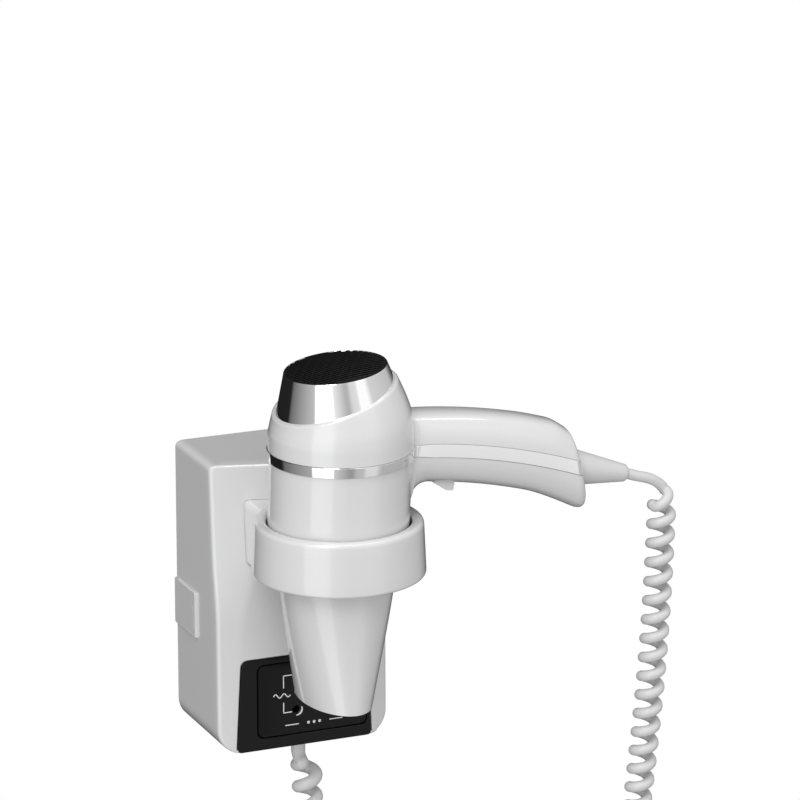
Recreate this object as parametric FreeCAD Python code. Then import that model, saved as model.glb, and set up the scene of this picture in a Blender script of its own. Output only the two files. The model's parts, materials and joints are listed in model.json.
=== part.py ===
"""Wall-mounted hair dryer: a wall unit with a shaver socket, a handset in a holder ring and a curly cord.

Millimetres. The origin is the centre of the wall face, +Z is up, +X points along the handle and the
unit's front faces -Y. The handset is drawn upright on its barrel axis and leans as it hangs.
"""
import FreeCAD, Part
import math
import os

os.makedirs("parts", exist_ok=True)
Vec = FreeCAD.Vector
EAST, FRONT, UP = Vec(1, 0, 0), Vec(0, -1, 0), Vec(0, 0, 1)

# ---- driving dimensions: fits ----
SEAM = 0.15            # gap between two covers of one body
EASE = 0.30            # gap between pieces of different bodies
SCREW_GAP = 0.05       # a screw's thread in its pilot hole
THROUGH_GAP = 0.30     # a screw's shank in a clearance hole

# ---- driving dimensions: wall unit ----
UNIT_W = 100.0
UNIT_H = 163.0
UNIT_WALL = 2.4
FRONT_DEPTH = 64.2
CORNER_LOW = 13.0
CORNER_TOP = 3.5
# height as a share of the unit, depth of the sides, set-back of the front, half width of the front flat
CASE_SECTIONS = [(-0.5, 61.6, 0.0, 41.0), (-0.05, 61.0, 0.0, 36.5), (0.18, 55.8, 0.2, 26.0), (0.5, 51.7, 0.9, 12.0)]
PLATE_T = 3.0
PLATE_SCREW_X = 60.0
PLATE_SCREW_Z = 110.0
PLATE_HOLE_R = 2.25
SUPPLY_HOLE_R = 9.0
SUPPLY_HOLE_Z = -22.0
PLATE_BOSS_HALF = 5.0  # the boss that takes the locking screw
PLATE_BOSS_H = 12.0
LOCK_SCREW_Y = -8.0
SIDE_PAD_D = 30.5      # raised pad on each side, measured from the wall
SIDE_PAD_H = 25.5
SIDE_PAD_Z = -10.5
SIDE_PAD_PROUD = 1.4
SCREW_R_SMALL = 1.5

# ---- driving dimensions: shaver socket ----
PANEL_HALF_LOW = 39.8
PANEL_HALF_TOP = 37.0
PANEL_H = 52.8
PANEL_T = 1.5
PANEL_CORNER = 4.0
FIELD_W = 64.0
FIELD_H = 41.5
FIELD_X = 4.6
FIELD_FROM_PANEL_TOP = 4.0
FIELD_T = 4.0
FIELD_CORNER = 4.0
FIELD_GAP = 0.7
FIELD_FLANGE = 3.0     # how far the insert's flange reaches behind the front wall
FIELD_FLANGE_T = 1.6
PIN_SPACING = 19.0
PIN_HOLE_R = 2.1
PIN_Z = -60.5
PIN_BOSS_R = 5.0
PIN_BOSS_L = 9.0
CONTACT_WALL = 0.6
CONTACT_L = 16.0
BRACKET_HALF_W = 18.0  # the block round the contact sleeves
BRACKET_HALF_H = 6.0
BRACKET_LEG = 4.0
CORE_W, CORE_D, CORE_H = 48.0, 22.0, 42.0
CORE_LEG = 8.0
CORE_Z = 8.0
TERMINAL_W, TERMINAL_D, TERMINAL_H = 34.0, 16.0, 14.0
TERMINAL_POLES = 3
TERMINAL_SCREW_R = 1.6
TERMINAL_LOW = -46.0
TERMINAL_WIRE_R = 1.4

# ---- driving dimensions: holder ring ----
AXIS_Y = -114.3        # barrel axis in front of the wall
RING_LOW = 34.2
RING_H = 30.0
RING_OUT_LOW = 46.9
RING_OUT_TOP = 45.5
RING_BORE = 38.9
RING_SEAT_R = 35.6     # smallest radius of the seat under the handset's shoulder
RING_SEAT_H = 8.0
RING_EDGE = 2.2
BLOCK_HALF_W = 32.6
BLOCK_LOW = 25.6
BLOCK_TOP = 62.0
BLOCK_CORNER = 5.0
RING_SCREW_X = 15.0
RING_SCREW_SEAT = 1.0  # the heads sit this far inside the front wall, clear of its set-back
RING_SCREW_Z = 47.0
RING_SCREW_R = 2.0
RING_SCREW_L = 12.0

# ---- driving dimensions: handset ----
LEAN = 2.0             # degrees, how far the handle pulls the handset over as it hangs
LEAN_Z = 70.0          # height that it leans about
SHELL = 2.2
BARREL_R_LOW = 38.1
BARREL_R_TOP = 39.1
BARREL_LOW = 28.0
BARREL_TOP = 105.0     # where the barrel starts to narrow towards the intake
SHOULDER_R = 33.0
SHOULDER_H = 26.0
CAP_TILT = 8.3         # degrees, the intake leans away from the handle
CAP_PIVOT_Z = 118.0
COLLAR_R = 36.6        # collar radius at the pivot, and what it loses per millimetre of height
COLLAR_TAPER = 0.29
COLLAR_STEP = 2.6      # the shell's lip stands this far outside the collar
COLLAR_WALL = 1.6
COLLAR_FOOT = 8.0
COLLAR_SKIRT = 4.0     # the collar's skirt below the shell's lip
CAP_H = 30.5           # pivot to grille
CAP_SPLIT_Z = 134.4
CAP_SPLIT_SLOPE = 0.355
GRILLE_DOME = 1.6
GRILLE_DEEP = 3.2      # depth of the grille's seat below the collar's top
GRILLE_SLOT = 1.8
GRILLE_PITCH = 3.6
GRILLE_RIM = 1.2
BAND_HALF = 2.9        # half the width of the trim band
BAND_PROUD = 0.5
HANDLE_X = 40.0
HANDLE_Z = 102.5
HANDLE_ARC = 360.0
HANDLE_FALL = 3.0      # degrees below level where the handle leaves the barrel
HANDLE_HALF_H = 20.3
HANDLE_HALF_W = 15.8
HANDLE_L = 100.0
HANDLE_ROUND = 2.6     # exponent of the handle's section, 2 for an ellipse
SECTION_POINTS = 16
HEEL = 3.4             # how far the end drops below the spine
END_SLANT = 0.667      # how far the end face runs on per millimetre of depth below the spine
SLANT_FROM = 60.0      # along the spine, where the sections begin to slant
ROOT_EASE = 0.6        # the handle's top starts this much lower, twice over, and is level again here
ROOT_EASE_L = 60.0
HANDLE_ROOT_IN = 28.0  # how far the handle's first section lies inside the barrel
ROOT_RADIUS = 12.0     # blend under the handle where it meets the barrel
ROOT_SIDE = 4.0        # the same at its sides
# distance short of the handle's end, then scales of height and width, and share of the heel
HANDLE_END_SECTIONS = [(28.0, 1.0, 1.0, 0.12), (21.0, 1.01, 1.0, 0.28), (15.0, 1.02, 1.0, 0.5),
                       (9.0, 1.02, 0.99, 0.75), (5.0, 0.97, 0.96, 0.9), (2.5, 0.89, 0.9, 0.95),
                       (0.9, 0.78, 0.8, 1.0), (0.0, 0.64, 0.66, 1.0)]

# ---- driving dimensions: nozzle ----
NOZZLE_R = 30.9
NOZZLE_NECK = 9.0      # length of the sleeve that clips inside the barrel
NOZZLE_TIP = -37.0
OUTLET_HALF_X = 18.5
OUTLET_HALF_Y = 32.0
NOZZLE_WALL = 2.0

# ---- driving dimensions: inside the handset ----
MOTOR_R = 14.5
MOTOR_L = 26.0
MOTOR_Z = 72.0
SHAFT_R = 1.5
SHAFT_IN = 18.0
SHAFT_OUT = 12.5
SHAFT_GAP = 0.05
FAN_R = 32.4
FAN_HUB_R = 14.0
FAN_H = 9.0
FAN_GAP = 2.0
FAN_BLADES = 7
BLADE_T = 1.5
BLADE_TURN = 38.0
SHROUD_R = 35.4
SHROUD_WALL = 1.6
SHROUD_LOW = 76.0
SHROUD_TOP = 111.0
VANES = 6
GUARD_R = 30.6
GUARD_Z = 38.5
GUARD_T = 2.5
GUARD_RINGS = 3
HEATER_R = 30.0
HEATER_WALL = 0.8
HEATER_LOW = 42.5
HEATER_TOP = 68.0
MICA_T = 0.8
MICA_HALF_W = 21.0
COIL_TURNS = 7
COIL_WIRE = 0.7
SCREEN_T = 0.6
SCREEN_DROP = 4.0
TRIGGER_AT = 21.0      # along the spine
TRIGGER_L = 12.0
TRIGGER_W = 11.0
TRIGGER_OUT = 4.4
SPRING_R = 2.6
SPRING_WIRE = 0.6
SHELL_SCREW_R = 1.4
SHELL_SCREW_AT = (43.0, 77.0)
BOSS_R = 3.6
BOARD_AT, BOARD_L, BOARD_W, BOARD_T = 60.0, 24.0, 20.0, 1.6
CLAMP_AT, CLAMP_L, CLAMP_W, CLAMP_H = 87.5, 8.0, 18.0, 6.0

# ---- driving dimensions: cord ----
CORD_D = 6.0
COIL_D = 16.4
RELIEF_R = 10.0
RELIEF_NECK_R = 6.0
TRIM_CLEAR = 1.5       # the strips end this far outside the relief's neck
RELIEF_TIP_R = 4.4
RELIEF_L = 33.0
RELIEF_LOW = 2.8       # below the spine where it leaves the handle
RELIEF_FALL = 11.0     # degrees
GLAND_R = 4.0
GLAND_FLANGE_R = 6.5
GLAND_OUT = 12.5
GLAND_AT = Vec(4.0, -44.0, 0.0)
LEAD_ROUTE = [(177.3, -114.3, 66.2), (184.0, -114.3, 62.1), (189.0, -114.3, 56.4), (191.7, -114.2, 49.2)]
COIL_HANDSET_ROUTE = [(191.9, -114.2, 47.9), (190.4, -113.9, 0.0), (187.4, -113.0, -55.0), (182.6, -111.3, -112.0),
                      (177.5, -109.4, -165.0), (160.0, -102.8, -218.0), (122.0, -88.3, -250.0),
                      (97.0, -78.75, -251.0)]
COIL_WALL_ROUTE = [(97.0, -78.75, -251.0), (72.0, -69.2, -252.0), (30.0, -53.2, -222.0), (14.5, -47.3, -176.0),
                   (9.4, -45.3, -138.0), (8.8, -44.0, -100.0)]


# ---- helpers ----
def save(shape, node):
    """Write one node's STEP and report its solids and volume."""
    shape = shape.removeSplitter() if shape.Solids else shape
    print(f"{node}: {len(shape.Solids)} solid(s), {shape.Volume:.0f} mm3, valid {shape.isValid()}")
    shape.exportStep(f"parts/{node}.step")


def block(x0, x1, y0, y1, z0, z1):
    """A box from its low and high corners."""
    return Part.makeBox(x1 - x0, y1 - y0, z1 - z0, Vec(x0, y0, z0))


def rod(radius, start, end):
    """A cylinder between two points."""
    return Part.makeCylinder(radius, (end - start).Length, start, end - start)


def tube(outer, inner, start, end):
    """A hollow cylinder between two points."""
    reach = (end - start).normalize()
    return rod(outer, start, end).cut(rod(inner, start - reach, end + reach))


def joined(shapes):
    """One shape from several."""
    return shapes[0].multiFuse(shapes[1:]) if len(shapes) > 1 else shapes[0]


def group(shapes):
    """Separate solids kept in one node."""
    return Part.makeCompound(shapes)


def revolved(outline, centre):
    """A solid of revolution about the vertical through centre, from (radius, height) points."""
    points = [Vec(centre.x + r, centre.y, z) for r, z in outline]
    face = Part.Face(Part.makePolygon(points + points[:1]))
    return face.revolve(Vec(centre.x, centre.y, 0), UP, 360)


def rounded_plate(x0, x1, z0, z1, y_front, y_back, low_r, top_r):
    """A plate in the XZ plane with rounded low and top corners."""
    plate = block(x0, x1, y_front, y_back, z0, z1)
    middle = (z0 + z1) / 2
    upright = [e for e in plate.Edges if abs(e.tangentAt(e.FirstParameter).y) > 0.9]
    for radius, wanted in ((low_r, [e for e in upright if e.CenterOfMass.z < middle]),
                           (top_r, [e for e in upright if e.CenterOfMass.z > middle])):
        if radius > 0:
            centres = [e.CenterOfMass for e in wanted]
            edges = [e for e in plate.Edges if any((e.CenterOfMass - c).Length < 0.01 for c in centres)]
            plate = plate.makeFillet(radius, edges)
    return plate


def torus(radius, wire, centre):
    """A closed ring of wire lying level."""
    return Part.makeTorus(radius, wire, centre, UP)


# ---- wall unit ----
def case_solid(inset, back=0.0):
    """The wall unit's outside, moved in by inset, reaching back to y = back."""
    wires = []
    for share, side, set_back, flat in CASE_SECTIONS:
        half, deep, front = UNIT_W / 2 - inset, side - inset, FRONT_DEPTH - set_back - inset
        outline = [(-half, back), (-half, -deep), (-flat, -front), (flat, -front), (half, -deep), (half, back)]
        height = share * UNIT_H - math.copysign(inset, share) * (abs(share) == 0.5)
        points = [Vec(x, y, height) for x, y in outline]
        wires.append(Part.makePolygon(points + points[:1]))
    body = Part.makeLoft(wires, True, True)
    half, rise = UNIT_W / 2 - inset, UNIT_H / 2 - inset
    low_r, top_r = max(CORNER_LOW - inset, 1.0), max(CORNER_TOP - inset, 0.5)
    return body.common(rounded_plate(-half, half, -rise, rise, -FRONT_DEPTH - 1, back, low_r, top_r))


def panel_prism(grow, y_front, y_back):
    """The socket panel's outline, wider at the bottom edge of the unit, with rounded upper corners."""
    low, top = -UNIT_H / 2, -UNIT_H / 2 + PANEL_H + grow
    wide, narrow = PANEL_HALF_LOW + grow, PANEL_HALF_TOP + grow
    points = [Vec(-wide, y_back, low), Vec(-narrow, y_back, top), Vec(narrow, y_back, top), Vec(wide, y_back, low)]
    solid = Part.Face(Part.makePolygon(points + points[:1])).extrude(Vec(0, y_front - y_back, 0))
    corners = [e for e in solid.Edges if abs(e.tangentAt(e.FirstParameter).y) > 0.9 and e.CenterOfMass.z > top - 1]
    return solid.makeFillet(PANEL_CORNER, corners)


def field_prism(grow, y_front, y_back):
    """The socket field's rounded outline."""
    top = -UNIT_H / 2 + PANEL_H - FIELD_FROM_PANEL_TOP
    corner = FIELD_CORNER + grow
    return rounded_plate(FIELD_X - FIELD_W / 2 - grow, FIELD_X + FIELD_W / 2 + grow, top - FIELD_H - grow,
                         top + grow, y_front, y_back, corner, corner)


def pin_xs():
    """The two pin holes' places across the unit."""
    return [FIELD_X + side * PIN_SPACING / 2 for side in (-1, 1)]


def side_pad(side):
    """The raised pad on one side, chamfered at its ends, with its groove."""
    face, low, top = UNIT_W / 2 * side, SIDE_PAD_Z - SIDE_PAD_H / 2, SIDE_PAD_Z + SIDE_PAD_H / 2
    proud = SIDE_PAD_PROUD * side
    root = UNIT_WALL / 2 * side
    points = [Vec(face - root, 0, low - SIDE_PAD_PROUD), Vec(face, 0, low - SIDE_PAD_PROUD), Vec(face + proud, 0, low),
              Vec(face + proud, 0, top), Vec(face, 0, top + SIDE_PAD_PROUD), Vec(face - root, 0, top + SIDE_PAD_PROUD)]
    pad = Part.Face(Part.makePolygon(points + points[:1])).extrude(Vec(0, -SIDE_PAD_D, 0))
    groove_half, groove_deep, groove_wide = SIDE_PAD_H * 0.28, 0.6, 0.8
    edge = face + proud
    x0, x1 = sorted((edge - groove_deep * side, edge + side))
    groove = block(x0, x1, -SIDE_PAD_D + 1.2, -SIDE_PAD_D + 1.2 + groove_wide, SIDE_PAD_Z - groove_half,
                   SIDE_PAD_Z + groove_half)
    return pad.cut(groove)


def ring_screw_spots():
    """Where the ring's screws pass through the front wall, at the wall's inner face."""
    inner = -(FRONT_DEPTH - UNIT_WALL - RING_SCREW_SEAT)
    return [Vec(side * RING_SCREW_X, inner, RING_SCREW_Z) for side in (-1, 1)]


def housing_screw_spot():
    """The locking screw's entry in the unit's underside."""
    return Vec(0, LOCK_SCREW_Y, -UNIT_H / 2)


def wall_housing():
    """The white cover, open at the back, with the panel's recess and its openings."""
    shell = case_solid(0).cut(case_solid(UNIT_WALL, back=1.0))
    shell = shell.cut(panel_prism(SEAM, -FRONT_DEPTH - 1, -FRONT_DEPTH + PANEL_T + SEAM))
    shell = shell.cut(field_prism(SEAM, -FRONT_DEPTH - 1, -FRONT_DEPTH + FIELD_T + 1))
    gland = Vec(GLAND_AT.x, GLAND_AT.y, -UNIT_H / 2)
    shell = shell.cut(rod(GLAND_R + SEAM, gland - UP, gland + UP * (UNIT_WALL + 1)))
    screw = housing_screw_spot()
    shell = shell.cut(rod(SCREW_R_SMALL + THROUGH_GAP, screw - UP, screw + UP * (UNIT_WALL + 1)))
    for spot in ring_screw_spots():
        shell = shell.cut(rod(RING_SCREW_R + THROUGH_GAP, spot - FRONT, spot + FRONT * (UNIT_WALL + 2)))
    return joined([shell, side_pad(-1), side_pad(1)])


def wall_plate():
    """The plate screwed to the wall, with a boss for the locking screw."""
    gap = UNIT_WALL + EASE
    half, rise = UNIT_W / 2 - gap, UNIT_H / 2 - gap
    plate = rounded_plate(-half, half, -rise, rise, -PLATE_T, 0, CORNER_LOW, CORNER_TOP)
    for x in (-PLATE_SCREW_X / 2, PLATE_SCREW_X / 2):
        for z in (-PLATE_SCREW_Z / 2, PLATE_SCREW_Z / 2):
            plate = plate.cut(rod(PLATE_HOLE_R, Vec(x, 1, z), Vec(x, -PLATE_T - 1, z)))
    plate = plate.cut(rod(SUPPLY_HOLE_R, Vec(0, 1, SUPPLY_HOLE_Z), Vec(0, -PLATE_T - 1, SUPPLY_HOLE_Z)))
    screw = housing_screw_spot()
    boss = block(-PLATE_BOSS_HALF, PLATE_BOSS_HALF, screw.y - PLATE_BOSS_HALF, -PLATE_T + 1, -rise,
                 -rise + PLATE_BOSS_H)
    pilot = rod(SCREW_R_SMALL + SCREW_GAP, screw - UP, screw + UP * 16)
    return plate.fuse(boss).cut(pilot)


def housing_screw():
    """The screw that locks the housing to the plate, its head flush under the unit."""
    spot = housing_screw_spot()
    head = rod(SCREW_R_SMALL * 2, spot - UP * 1.6, spot - UP * SCREW_GAP)
    slot = block(-SCREW_R_SMALL * 2, SCREW_R_SMALL * 2, spot.y - 0.4, spot.y + 0.4, spot.z - 2, spot.z - 1)
    return head.fuse(rod(SCREW_R_SMALL, spot - UP, spot + UP * 10)).cut(slot)


def socket_panel():
    """The dark plate, with the field's opening."""
    plate = panel_prism(0, -FRONT_DEPTH, -FRONT_DEPTH + PANEL_T)
    return plate.cut(field_prism(FIELD_GAP, -FRONT_DEPTH - 1, -FRONT_DEPTH + PANEL_T + 1))


def socket_insert():
    """The field with its two pin holes and the bosses behind them."""
    front = -FRONT_DEPTH + 0.1
    body = field_prism(0, front, front + FIELD_T)
    seat = -FRONT_DEPTH + UNIT_WALL + SEAM
    flange = field_prism(FIELD_FLANGE, seat, seat + FIELD_FLANGE_T)
    flange = flange.common(case_solid(UNIT_WALL + EASE))
    pieces = [body, flange]
    pieces += [rod(PIN_BOSS_R, Vec(x, front + 1, PIN_Z), Vec(x, front + PIN_BOSS_L, PIN_Z)) for x in pin_xs()]
    body = joined(pieces)
    for x in pin_xs():
        body = body.cut(rod(PIN_HOLE_R, Vec(x, front - 1, PIN_Z), Vec(x, front + PIN_BOSS_L + 1, PIN_Z)))
    return body


def contact_start():
    """The depth where the contact sleeves begin, behind the bosses."""
    return -FRONT_DEPTH + 0.1 + PIN_BOSS_L + SEAM


def socket_contacts():
    """Two brass sleeves that grip the plug's pins."""
    y0 = contact_start()
    return group([tube(PIN_HOLE_R + CONTACT_WALL, PIN_HOLE_R, Vec(x, y0, PIN_Z), Vec(x, y0 + CONTACT_L, PIN_Z))
                  for x in pin_xs()])


def socket_bracket():
    """The block that carries the contact sleeves, on two legs from the wall plate."""
    y0 = contact_start() + 1.0
    wide, tall = BRACKET_HALF_W, BRACKET_HALF_H
    body = block(FIELD_X - wide, FIELD_X + wide, y0, y0 + CONTACT_L - 2, PIN_Z - tall, PIN_Z + tall)
    for x in pin_xs():
        body = body.cut(rod(PIN_HOLE_R + CONTACT_WALL + SCREW_GAP, Vec(x, y0 - 1, PIN_Z), Vec(x, 0, PIN_Z)))
    middles = [FIELD_X + side * (wide - BRACKET_LEG * 0.75) for side in (-1, 1)]
    legs = [block(x - BRACKET_LEG / 2, x + BRACKET_LEG / 2, y0 + 2, -PLATE_T - SEAM, PIN_Z - tall + 1,
                  PIN_Z + tall - 1) for x in middles]
    return joined([body] + legs)


def transformer_core():
    """A laminated shell core with a window on each side of its centre leg."""
    back = -PLATE_T - 2
    core = block(-CORE_W / 2, CORE_W / 2, back - CORE_D, back, CORE_Z, CORE_Z + CORE_H)
    window = (CORE_W - 4 * CORE_LEG) / 2
    for side in (-1, 1):
        x = side * (CORE_LEG + window / 2)
        core = core.cut(block(x - window / 2, x + window / 2, back - CORE_D - 1, back + 1, CORE_Z + CORE_LEG,
                              CORE_Z + CORE_H - CORE_LEG))
    feet = [block(x - 4, x + 4, back - 4, -PLATE_T - SEAM, CORE_Z - 2, CORE_Z + 2) for x in (-20, 20)]
    return joined([core] + feet)


def transformer_winding():
    """The winding round the core's centre leg."""
    back, window = -PLATE_T - 2, (CORE_W - 4 * CORE_LEG) / 2
    gap = 0.3
    half = CORE_LEG + window - gap
    low, top = CORE_Z + CORE_LEG + gap, CORE_Z + CORE_H - CORE_LEG - gap
    reach = window - gap
    outer = block(-half, half, back - CORE_D - reach, back + reach, low, top)
    outer = outer.common(block(-half, half, -UNIT_H, -PLATE_T - SEAM, low, top))
    leg = CORE_LEG + gap
    return outer.cut(block(-leg, leg, back - CORE_D - gap, back + gap, low - 1, top + 1))


def terminal_xs():
    """The terminal poles' places."""
    pitch = TERMINAL_W / TERMINAL_POLES
    return [(i - (TERMINAL_POLES - 1) / 2) * pitch for i in range(TERMINAL_POLES)]


def terminal_block():
    """The mains connection on the wall plate."""
    back, low = -PLATE_T - SEAM, TERMINAL_LOW
    body = block(-TERMINAL_W / 2, TERMINAL_W / 2, back - TERMINAL_D, back, low, low + TERMINAL_H)
    for x in terminal_xs():
        body = body.cut(rod(TERMINAL_SCREW_R + SCREW_GAP, Vec(x, back - TERMINAL_D - 1, low + TERMINAL_H / 2),
                            Vec(x, back - 4, low + TERMINAL_H / 2)))
        body = body.cut(rod(TERMINAL_WIRE_R, Vec(x, back - TERMINAL_D / 2, low - 1), Vec(x, back - TERMINAL_D / 2, low + 5)))
    return body


def terminal_screws():
    """One slotted screw per pole."""
    back, middle = -PLATE_T - SEAM, TERMINAL_LOW + TERMINAL_H / 2
    screws = []
    for x in terminal_xs():
        tip = back - TERMINAL_D
        screw = rod(TERMINAL_SCREW_R, Vec(x, tip + 1, middle), Vec(x, back - TERMINAL_D / 2 - 1, middle))
        screws.append(screw.cut(block(x - 2, x + 2, tip, tip + 1.6, middle - 0.3, middle + 0.3)))
    return group(screws)


def wall_gland():
    """The sleeve that the cord enters, with a flange inside the housing."""
    low = Vec(GLAND_AT.x, GLAND_AT.y, -UNIT_H / 2 - GLAND_OUT)
    floor = Vec(GLAND_AT.x, GLAND_AT.y, -UNIT_H / 2 + UNIT_WALL + SEAM)
    body = rod(GLAND_R, low, floor).fuse(rod(GLAND_FLANGE_R, floor, floor + UP * 3))
    return body.cut(rod(CORD_D / 2, low - UP, floor + UP * 4))


# ---- holder ring ----
def holder_ring():
    """The ring with its seat, and the block that joins it to the housing."""
    top = RING_LOW + RING_H
    centre = Vec(0, AXIS_Y, 0)
    collar = revolved([(0, RING_LOW), (RING_OUT_LOW, RING_LOW), (RING_OUT_TOP, top), (0, top)], centre)
    bracket = rounded_plate(-BLOCK_HALF_W, BLOCK_HALF_W, BLOCK_LOW, BLOCK_TOP, AXIS_Y + 20, -UNIT_WALL - 20,
                            BLOCK_CORNER, BLOCK_CORNER).cut(case_solid(-SCREW_GAP, back=5.0))
    seat_top = RING_LOW + RING_SEAT_H + 3
    bore = revolved([(0, BLOCK_LOW - 1), (RING_SEAT_R, BLOCK_LOW - 1), (RING_SEAT_R, RING_LOW + 2),
                     (RING_BORE, seat_top), (RING_BORE, top + 1), (0, top + 1)], centre)
    ring = collar.fuse(bracket).cut(bore)
    rims = [e for e in ring.Edges if e.CenterOfMass.z > top - 0.5 and e.BoundBox.ZLength < 0.01]
    ring = ring.makeFillet(RING_EDGE, rims)
    for spot in ring_screw_spots():
        ring = ring.cut(rod(RING_SCREW_R + SCREW_GAP, spot, spot + FRONT * (RING_SCREW_L + 1)))
    return ring


def ring_screws():
    """Two pan-head screws from inside the housing into the block."""
    screws = []
    for spot in ring_screw_spots():
        head = rod(RING_SCREW_R * 2, spot - FRONT * 2.6, spot)
        slot = block(spot.x - 5, spot.x + 5, spot.y + 1.6, spot.y + 3, spot.z - 0.5, spot.z + 0.5)
        screws.append(head.fuse(rod(RING_SCREW_R, spot - FRONT, spot + FRONT * RING_SCREW_L)).cut(slot))
    return group(screws)


# ---- handset: outer form ----
AXIS = Vec(0, AXIS_Y, 0)


def lean(shape):
    """Turn an upright handset piece into the leaning pose in which it hangs."""
    turned = shape.copy()
    turned.rotate(Vec(0, AXIS_Y, LEAN_Z), Vec(0, 1, 0), LEAN)
    return turned


def cap_frame():
    """The tilted frame of the air intake."""
    return FreeCAD.Placement(Vec(0, AXIS_Y, CAP_PIVOT_Z), FreeCAD.Rotation(Vec(0, 1, 0), -CAP_TILT))


def cap_radius(rise, outside):
    """Radius of the intake at a height above its pivot, for the collar or the shell round it."""
    shell_extra = COLLAR_STEP - 0.03 * rise
    return COLLAR_R - COLLAR_TAPER * rise + (shell_extra if outside else 0.0)


def circle_wire(radius, centre, normal):
    """A circle as a wire."""
    return Part.Wire(Part.makeCircle(radius, centre, normal))


def barrel_solid(grow):
    """The barrel's outside from the outlet to above the intake's lip."""
    low = BARREL_LOW + min(grow, 0) / SHELL
    shoulder = BARREL_LOW + SHOULDER_H
    outline = [(0, low), (SHOULDER_R + grow, low), (SHOULDER_R + grow, BARREL_LOW + 4),
               (BARREL_R_LOW - 1.9 + grow, BARREL_LOW + 14), (BARREL_R_LOW - 0.5 + grow, shoulder),
               (BARREL_R_LOW + grow, shoulder + 12), (BARREL_R_LOW + 0.1 + grow, BARREL_TOP - 11),
               (BARREL_R_TOP + grow, BARREL_TOP), (0, BARREL_TOP)]
    lower = revolved(outline, AXIS)
    frame, half = cap_frame(), FreeCAD.Rotation(Vec(0, 1, 0), -CAP_TILT / 2)
    wires = [circle_wire(BARREL_R_TOP + grow, Vec(0, AXIS_Y, BARREL_TOP), UP),
             circle_wire(BARREL_R_TOP + grow, Vec(0, AXIS_Y, BARREL_TOP + 5), UP),
             circle_wire(BARREL_R_TOP - 0.5 + grow, Vec(-0.1, AXIS_Y, CAP_PIVOT_Z - 1), half.multVec(UP))]
    for rise in (9, 20, 32):
        centre = frame.multVec(Vec(0, 0, rise))
        wires.append(circle_wire(cap_radius(rise, True) + grow, centre, frame.Rotation.multVec(UP)))
    return lower.fuse(Part.makeLoft(wires, True, False))


def spine(along, off=0.0):
    """A point on the handle's spine, off it along its normal, and the spine's fall in radians."""
    start = math.radians(HANDLE_FALL)
    fall = start + along / HANDLE_ARC
    x = HANDLE_X + HANDLE_ARC * (math.sin(fall) - math.sin(start)) + off * math.sin(fall)
    z = HANDLE_Z - HANDLE_ARC * (math.cos(start) - math.cos(fall)) + off * math.cos(fall)
    return Vec(x, AXIS_Y, z), fall


def handle_section(along, half_h, half_w, drop):
    """One rounded section of the handle: square to its spine, slanting more and more towards its end."""
    centre, fall = spine(along, -drop)
    share = min(max((along - SLANT_FROM) / (HANDLE_L - SLANT_FROM), 0.0), 1.0)
    slant = END_SLANT * share ** 2
    onward = Vec(math.cos(fall), 0, -math.sin(fall)) * slant
    rise = Vec(math.sin(fall), 0, math.cos(fall)) - onward
    centre = centre + onward * drop
    points = []
    for i in range(SECTION_POINTS):
        angle = 2 * math.pi * i / SECTION_POINTS
        c, s = math.cos(angle), math.sin(angle)
        across = math.copysign(abs(c) ** (2 / HANDLE_ROUND), c) * half_w
        up = math.copysign(abs(s) ** (2 / HANDLE_ROUND), s) * half_h
        points.append(centre + Vec(0, across, 0) + rise * up)
    curve = Part.BSplineCurve()
    curve.interpolate(points, True)
    return Part.Wire(curve.toShape())


def root_blend(along, radius, start):
    """How far a round blend stands out at a distance along the spine, from where it starts."""
    gone = min(max(along - start, 0.0), radius)
    return radius - math.sqrt(radius ** 2 - (radius - gone) ** 2)


def handle_solid(grow):
    """The handle's outside: blended into the barrel, drooping along its spine, rounded at its heel."""
    half_h, half_w = HANDLE_HALF_H + grow, HANDLE_HALF_W + grow
    wires = [handle_section(-HANDLE_ROOT_IN, half_h - ROOT_EASE, half_w, ROOT_EASE)]
    for along in (-6.0, -4.0, -2.0, -0.5, 1.0, 3.0, 6.0, 10.0, 25.0, 40.0, 55.0, 60.0, 65.0):
        under = root_blend(along, ROOT_RADIUS, -2.0) / 2
        side = root_blend(along, ROOT_SIDE, -6.0)
        ease = ROOT_EASE * min(max(1 - along / ROOT_EASE_L, 0.0), 1.0)
        wires.append(handle_section(along, half_h + under - ease, half_w + side, under + ease))
    for short, tall, wide, heel in HANDLE_END_SECTIONS:
        wires.append(handle_section(HANDLE_L - short + grow, half_h * tall, half_w * wide, HEEL * heel))
    return Part.makeLoft(wires, True, True)


def body_solid(grow):
    """Barrel and handle together."""
    return barrel_solid(grow).fuse(handle_solid(grow))


def above_split(off):
    """Everything above the parting line moved up by off: level with the wall unit, then along the spine."""
    start, middle, end = (spine(along, off)[0] for along in (0.0, 65.0, 130.0))
    run = HANDLE_X + 90.0
    back = Vec(start.x - run, AXIS_Y, start.z - run * math.tan(math.radians(LEAN)))
    far, high = 220.0, 230.0
    corners = [end, Vec(far, AXIS_Y, end.z), Vec(far, AXIS_Y, high), Vec(back.x, AXIS_Y, high), back, start]
    edges = [Part.Arc(start, middle, end).toShape()] + [Part.makeLine(a, b) for a, b in zip(corners, corners[1:])]
    face = Part.Face(Part.Wire(edges))
    face.translate(Vec(0, -60, 0))
    return face.extrude(Vec(0, 120, 0))


def above_cap_split(drop):
    """Everything above the slanted line where the shell ends and the collar begins, moved down by drop."""
    z0 = CAP_SPLIT_Z - drop
    points = [Vec(x, AXIS_Y - 60, z0 + CAP_SPLIT_SLOPE * x) for x in (-60, 60)] + \
             [Vec(60, AXIS_Y - 60, 230), Vec(-60, AXIS_Y - 60, 230)]
    return Part.Face(Part.makePolygon(points + points[:1])).extrude(Vec(0, 120, 0))


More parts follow.
